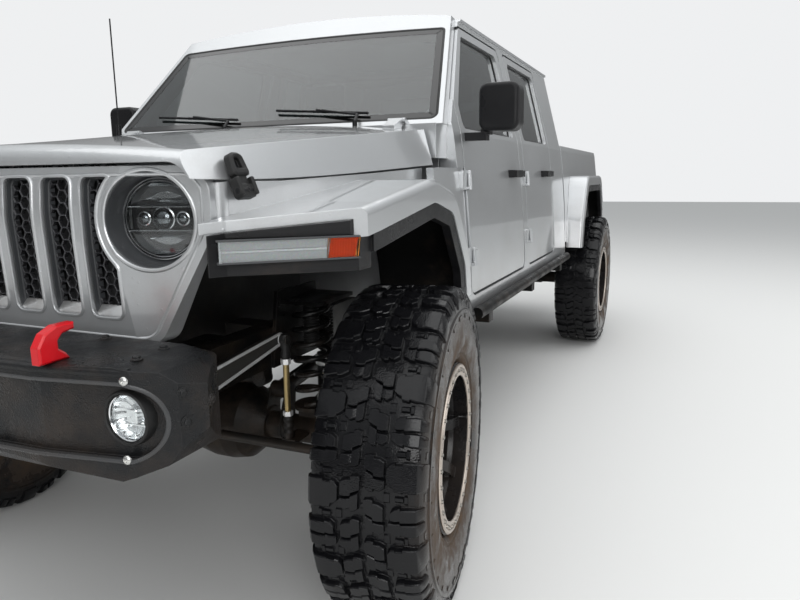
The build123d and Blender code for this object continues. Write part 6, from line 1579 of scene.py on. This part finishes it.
# %% Tail lamps
TAIL_Y, TAIL_Z, BEZEL_DEPTH = 0.742, 1.170, 0.0195
low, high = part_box("tail_lamps")
for label, side in SIDES:
    shape, place = Shape(), place_on((low[0] + BEZEL_DEPTH, side * TAIL_Y, TAIL_Z), (-1, 0, 0))
    shape.frame(rounded(0.068, 0.320, 0.014), rounded(0.056, 0.308, 0.009), 0.0, 0.0190, 0.003, place)
    shape.plate(rounded(0.0570, 0.3090, 0.009), 0.0, 0.0060, 0.001, place, 1)
    for middle, tall, finish in ((0.096, 0.112, 2), (0.0, 0.068, 3), (-0.096, 0.112, 2)):
        spot = place @ Matrix.Translation((0, middle, 0))
        shape.frame(rounded(0.050, tall, 0.010), rounded(0.030, tall - 0.024, 0.006), 0.006, 0.0165, 0.003,
                    spot, finish)
        shape.plate(rounded(0.031, tall - 0.023, 0.006), 0.006, 0.0120, 0.002, spot, finish)
    shape.piece("tail_lamp_" + label, [moulded_black, chrome, red_plastic, frosted], "tail_lamp",
                replaces=["tail_lamps"] if side > 0 else ())
print("tail lamps from Z", round(low[2], 3), "to", round(high[2], 3))

# %% [markdown]
# ## Bed and tailgate
# The bed's floor has long pressed ribs, its sides have black caps along the top, and
# the tailgate has a paddle handle in a dark bezel.

# %% Bed ribs, caps and handle
RIB_PITCH, FLOOR_Z, RIB_Z, CAP_SHELF_Z, HANDLE_Z = 0.098, 0.984, 0.985, 1.4335, 1.340
ribs, caps, handle = Shape(), Shape(), Shape()
for y in [index * RIB_PITCH for index in range(-5, 6)]:
    ribs.loft([[(x, y - 0.029, FLOOR_Z), (x, y - 0.021, RIB_Z + rise), (x, y + 0.021, RIB_Z + rise),
                (x, y + 0.029, FLOOR_Z)]
               for x, rise in ((-2.500, 0.0), (-2.470, 0.007), (-1.060, 0.007), (-1.030, 0.0))])
ribs.piece("bed_floor_ribs", [body_silver], "silver_paint")
cap_section = [(0.6975, 1.410), (0.6965, 1.432), (0.7010, 1.4365), (0.7330, 1.4365), (0.7390, 1.4338),
               (0.7040, 1.4330), (0.7005, 1.412)]
for side in (1, -1):
    caps.loft([[(x, side * y, z - (drop if z > CAP_SHELF_Z else 0)) for y, z in cap_section]
               for x, drop in ((-2.560, 0.004), (-2.552, 0.0), (-0.962, 0.0), (-0.954, 0.004))])
caps.piece("bed_rail_caps", [moulded_black], "black_plastic")
bed_low, bed_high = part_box("bed")
gate_low, gate_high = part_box("tailgate")
place = place_on((gate_low[0] + 0.0005, 0.0, HANDLE_Z), (-1, 0, 0))
handle.frame(rounded(0.206, 0.086, 0.016), rounded(0.180, 0.060, 0.010), -0.004, 0.0, 0.0015, place)
handle.frame(rounded(0.186, 0.066, 0.012), rounded(0.180, 0.060, 0.010), -0.014, -0.003, 0.0005, place)
handle.plate(rounded(0.150, 0.036, 0.010), -0.012, -0.0018, 0.004, place, 1)
handle.piece("tailgate_handle", [moulded_black, seal_rubber], "black_plastic", "tailgate")
print("bed box", [round(c, 3) for c in bed_low], [round(c, 3) for c in bed_high])
print("tailgate from Z", round(gate_low[2], 3), "to", round(gate_high[2], 3))

# %% [markdown]
# ## Wheel arch liners
# Under each flare a black moulded liner follows the arch, and only the flare's outer
# face is painted. The liner is a thin sheet that runs along the arch's own line, a
# little inside the painted shell. Two small painted pieces close the corners between
# the grille and the fenders.

# %% Arch liners
FLARE_Y = 0.9030
# Corners of each arch as X from its axle, Z, and the corner's radius
front_arch = [(0.335, 1.180, 0.0), (0.300, 1.184, 0.300), (-0.070, 1.236, 0.170), (-0.262, 1.190, 0.130),
              (-0.405, 0.985, 0.160), (-0.434, 0.825, 0.0)]
rear_arch = [(0.590, 0.790, 0.0), (0.560, 0.960, 0.150), (0.400, 1.236, 0.150), (-0.330, 1.236, 0.150),
             (-0.520, 1.000, 0.150), (-0.552, 0.790, 0.0)]
grille_corner = [(0.4970, 0.6545), (0.5060, 0.6530), (0.5150, 0.6490), (0.5220, 0.6405), (0.5220, 0.6220),
                 (0.4970, 0.6220)]


def open_path(corners, step=0.03):
    """Open path with rounded corners, as short steps."""
    path = [corners[0][:2]]
    for before, here, after in zip(corners, corners[1:], corners[2:]):
        middle, radius = Vector(here[:2]), here[2]
        one, two = Vector(before[:2]) - middle, Vector(after[:2]) - middle
        reach = min(one.length, two.length) * 0.48
        one.normalize()
        two.normalize()
        back = min(reach, radius / math.tan(one.angle(two) / 2))
        a, b = middle + one * back, middle + two * back
        path += [tuple((1 - t) ** 2 * a + 2 * t * (1 - t) * middle + t * t * b)
                 for t in [k / 8 for k in range(9)]]
    path.append(corners[-1][:2])
    fine = []
    for a, b in zip(path, path[1:]):
        fine += steps_between(a, b, max(1, int(math.dist(a, b) / step)))
    return fine + [path[-1]]


def build_liner(corners, base_x, inner_y, side):
    """Thin sheet inside an arch, from inner_y out to the flare's face."""
    shape, loops = Shape(), []
    path = [Vector(p) for p in open_path(corners)]
    section = ((inner_y, 0.0255), (FLARE_Y, 0.0255), (FLARE_Y, 0.0290), (FLARE_Y - 0.02, 0.0305),
               (inner_y + 0.02, 0.0305), (inner_y, 0.0290))
    for index, point in enumerate(path):
        run = (path[min(index + 1, len(path) - 1)] - path[max(index - 1, 0)]).normalized()
        inward = Vector((run.y, -run.x))
        if inward.dot(Vector((0.0, 0.7)) - point) < 0:
            inward = -inward
        spots = [(y, point + inward * depth) for y, depth in section]
        loops.append([(base_x + spot.x, side * y, spot.y) for y, spot in spots])
    shape.loft(loops)
    return shape


for label, side in SIDES:
    for end, arch, axle, inner_y in (("front", front_arch, FRONT_AXLE, 0.600),
                                     ("rear", rear_arch, REAR_AXLE, 0.790)):
        build_liner(arch, axle, inner_y, side).piece(
            "arch_liner_" + end + "_" + label, [liner_black], "black_plastic")
    corner = Shape()
    corner.loft([[(FRONT_AXLE + x, side * y, z) for x, y in grille_corner] for z in (1.090, 1.160, 1.2325)])
    corner.piece("grille_corner_" + label, [body_silver], "silver_paint", crease=50)
print("liners ready")
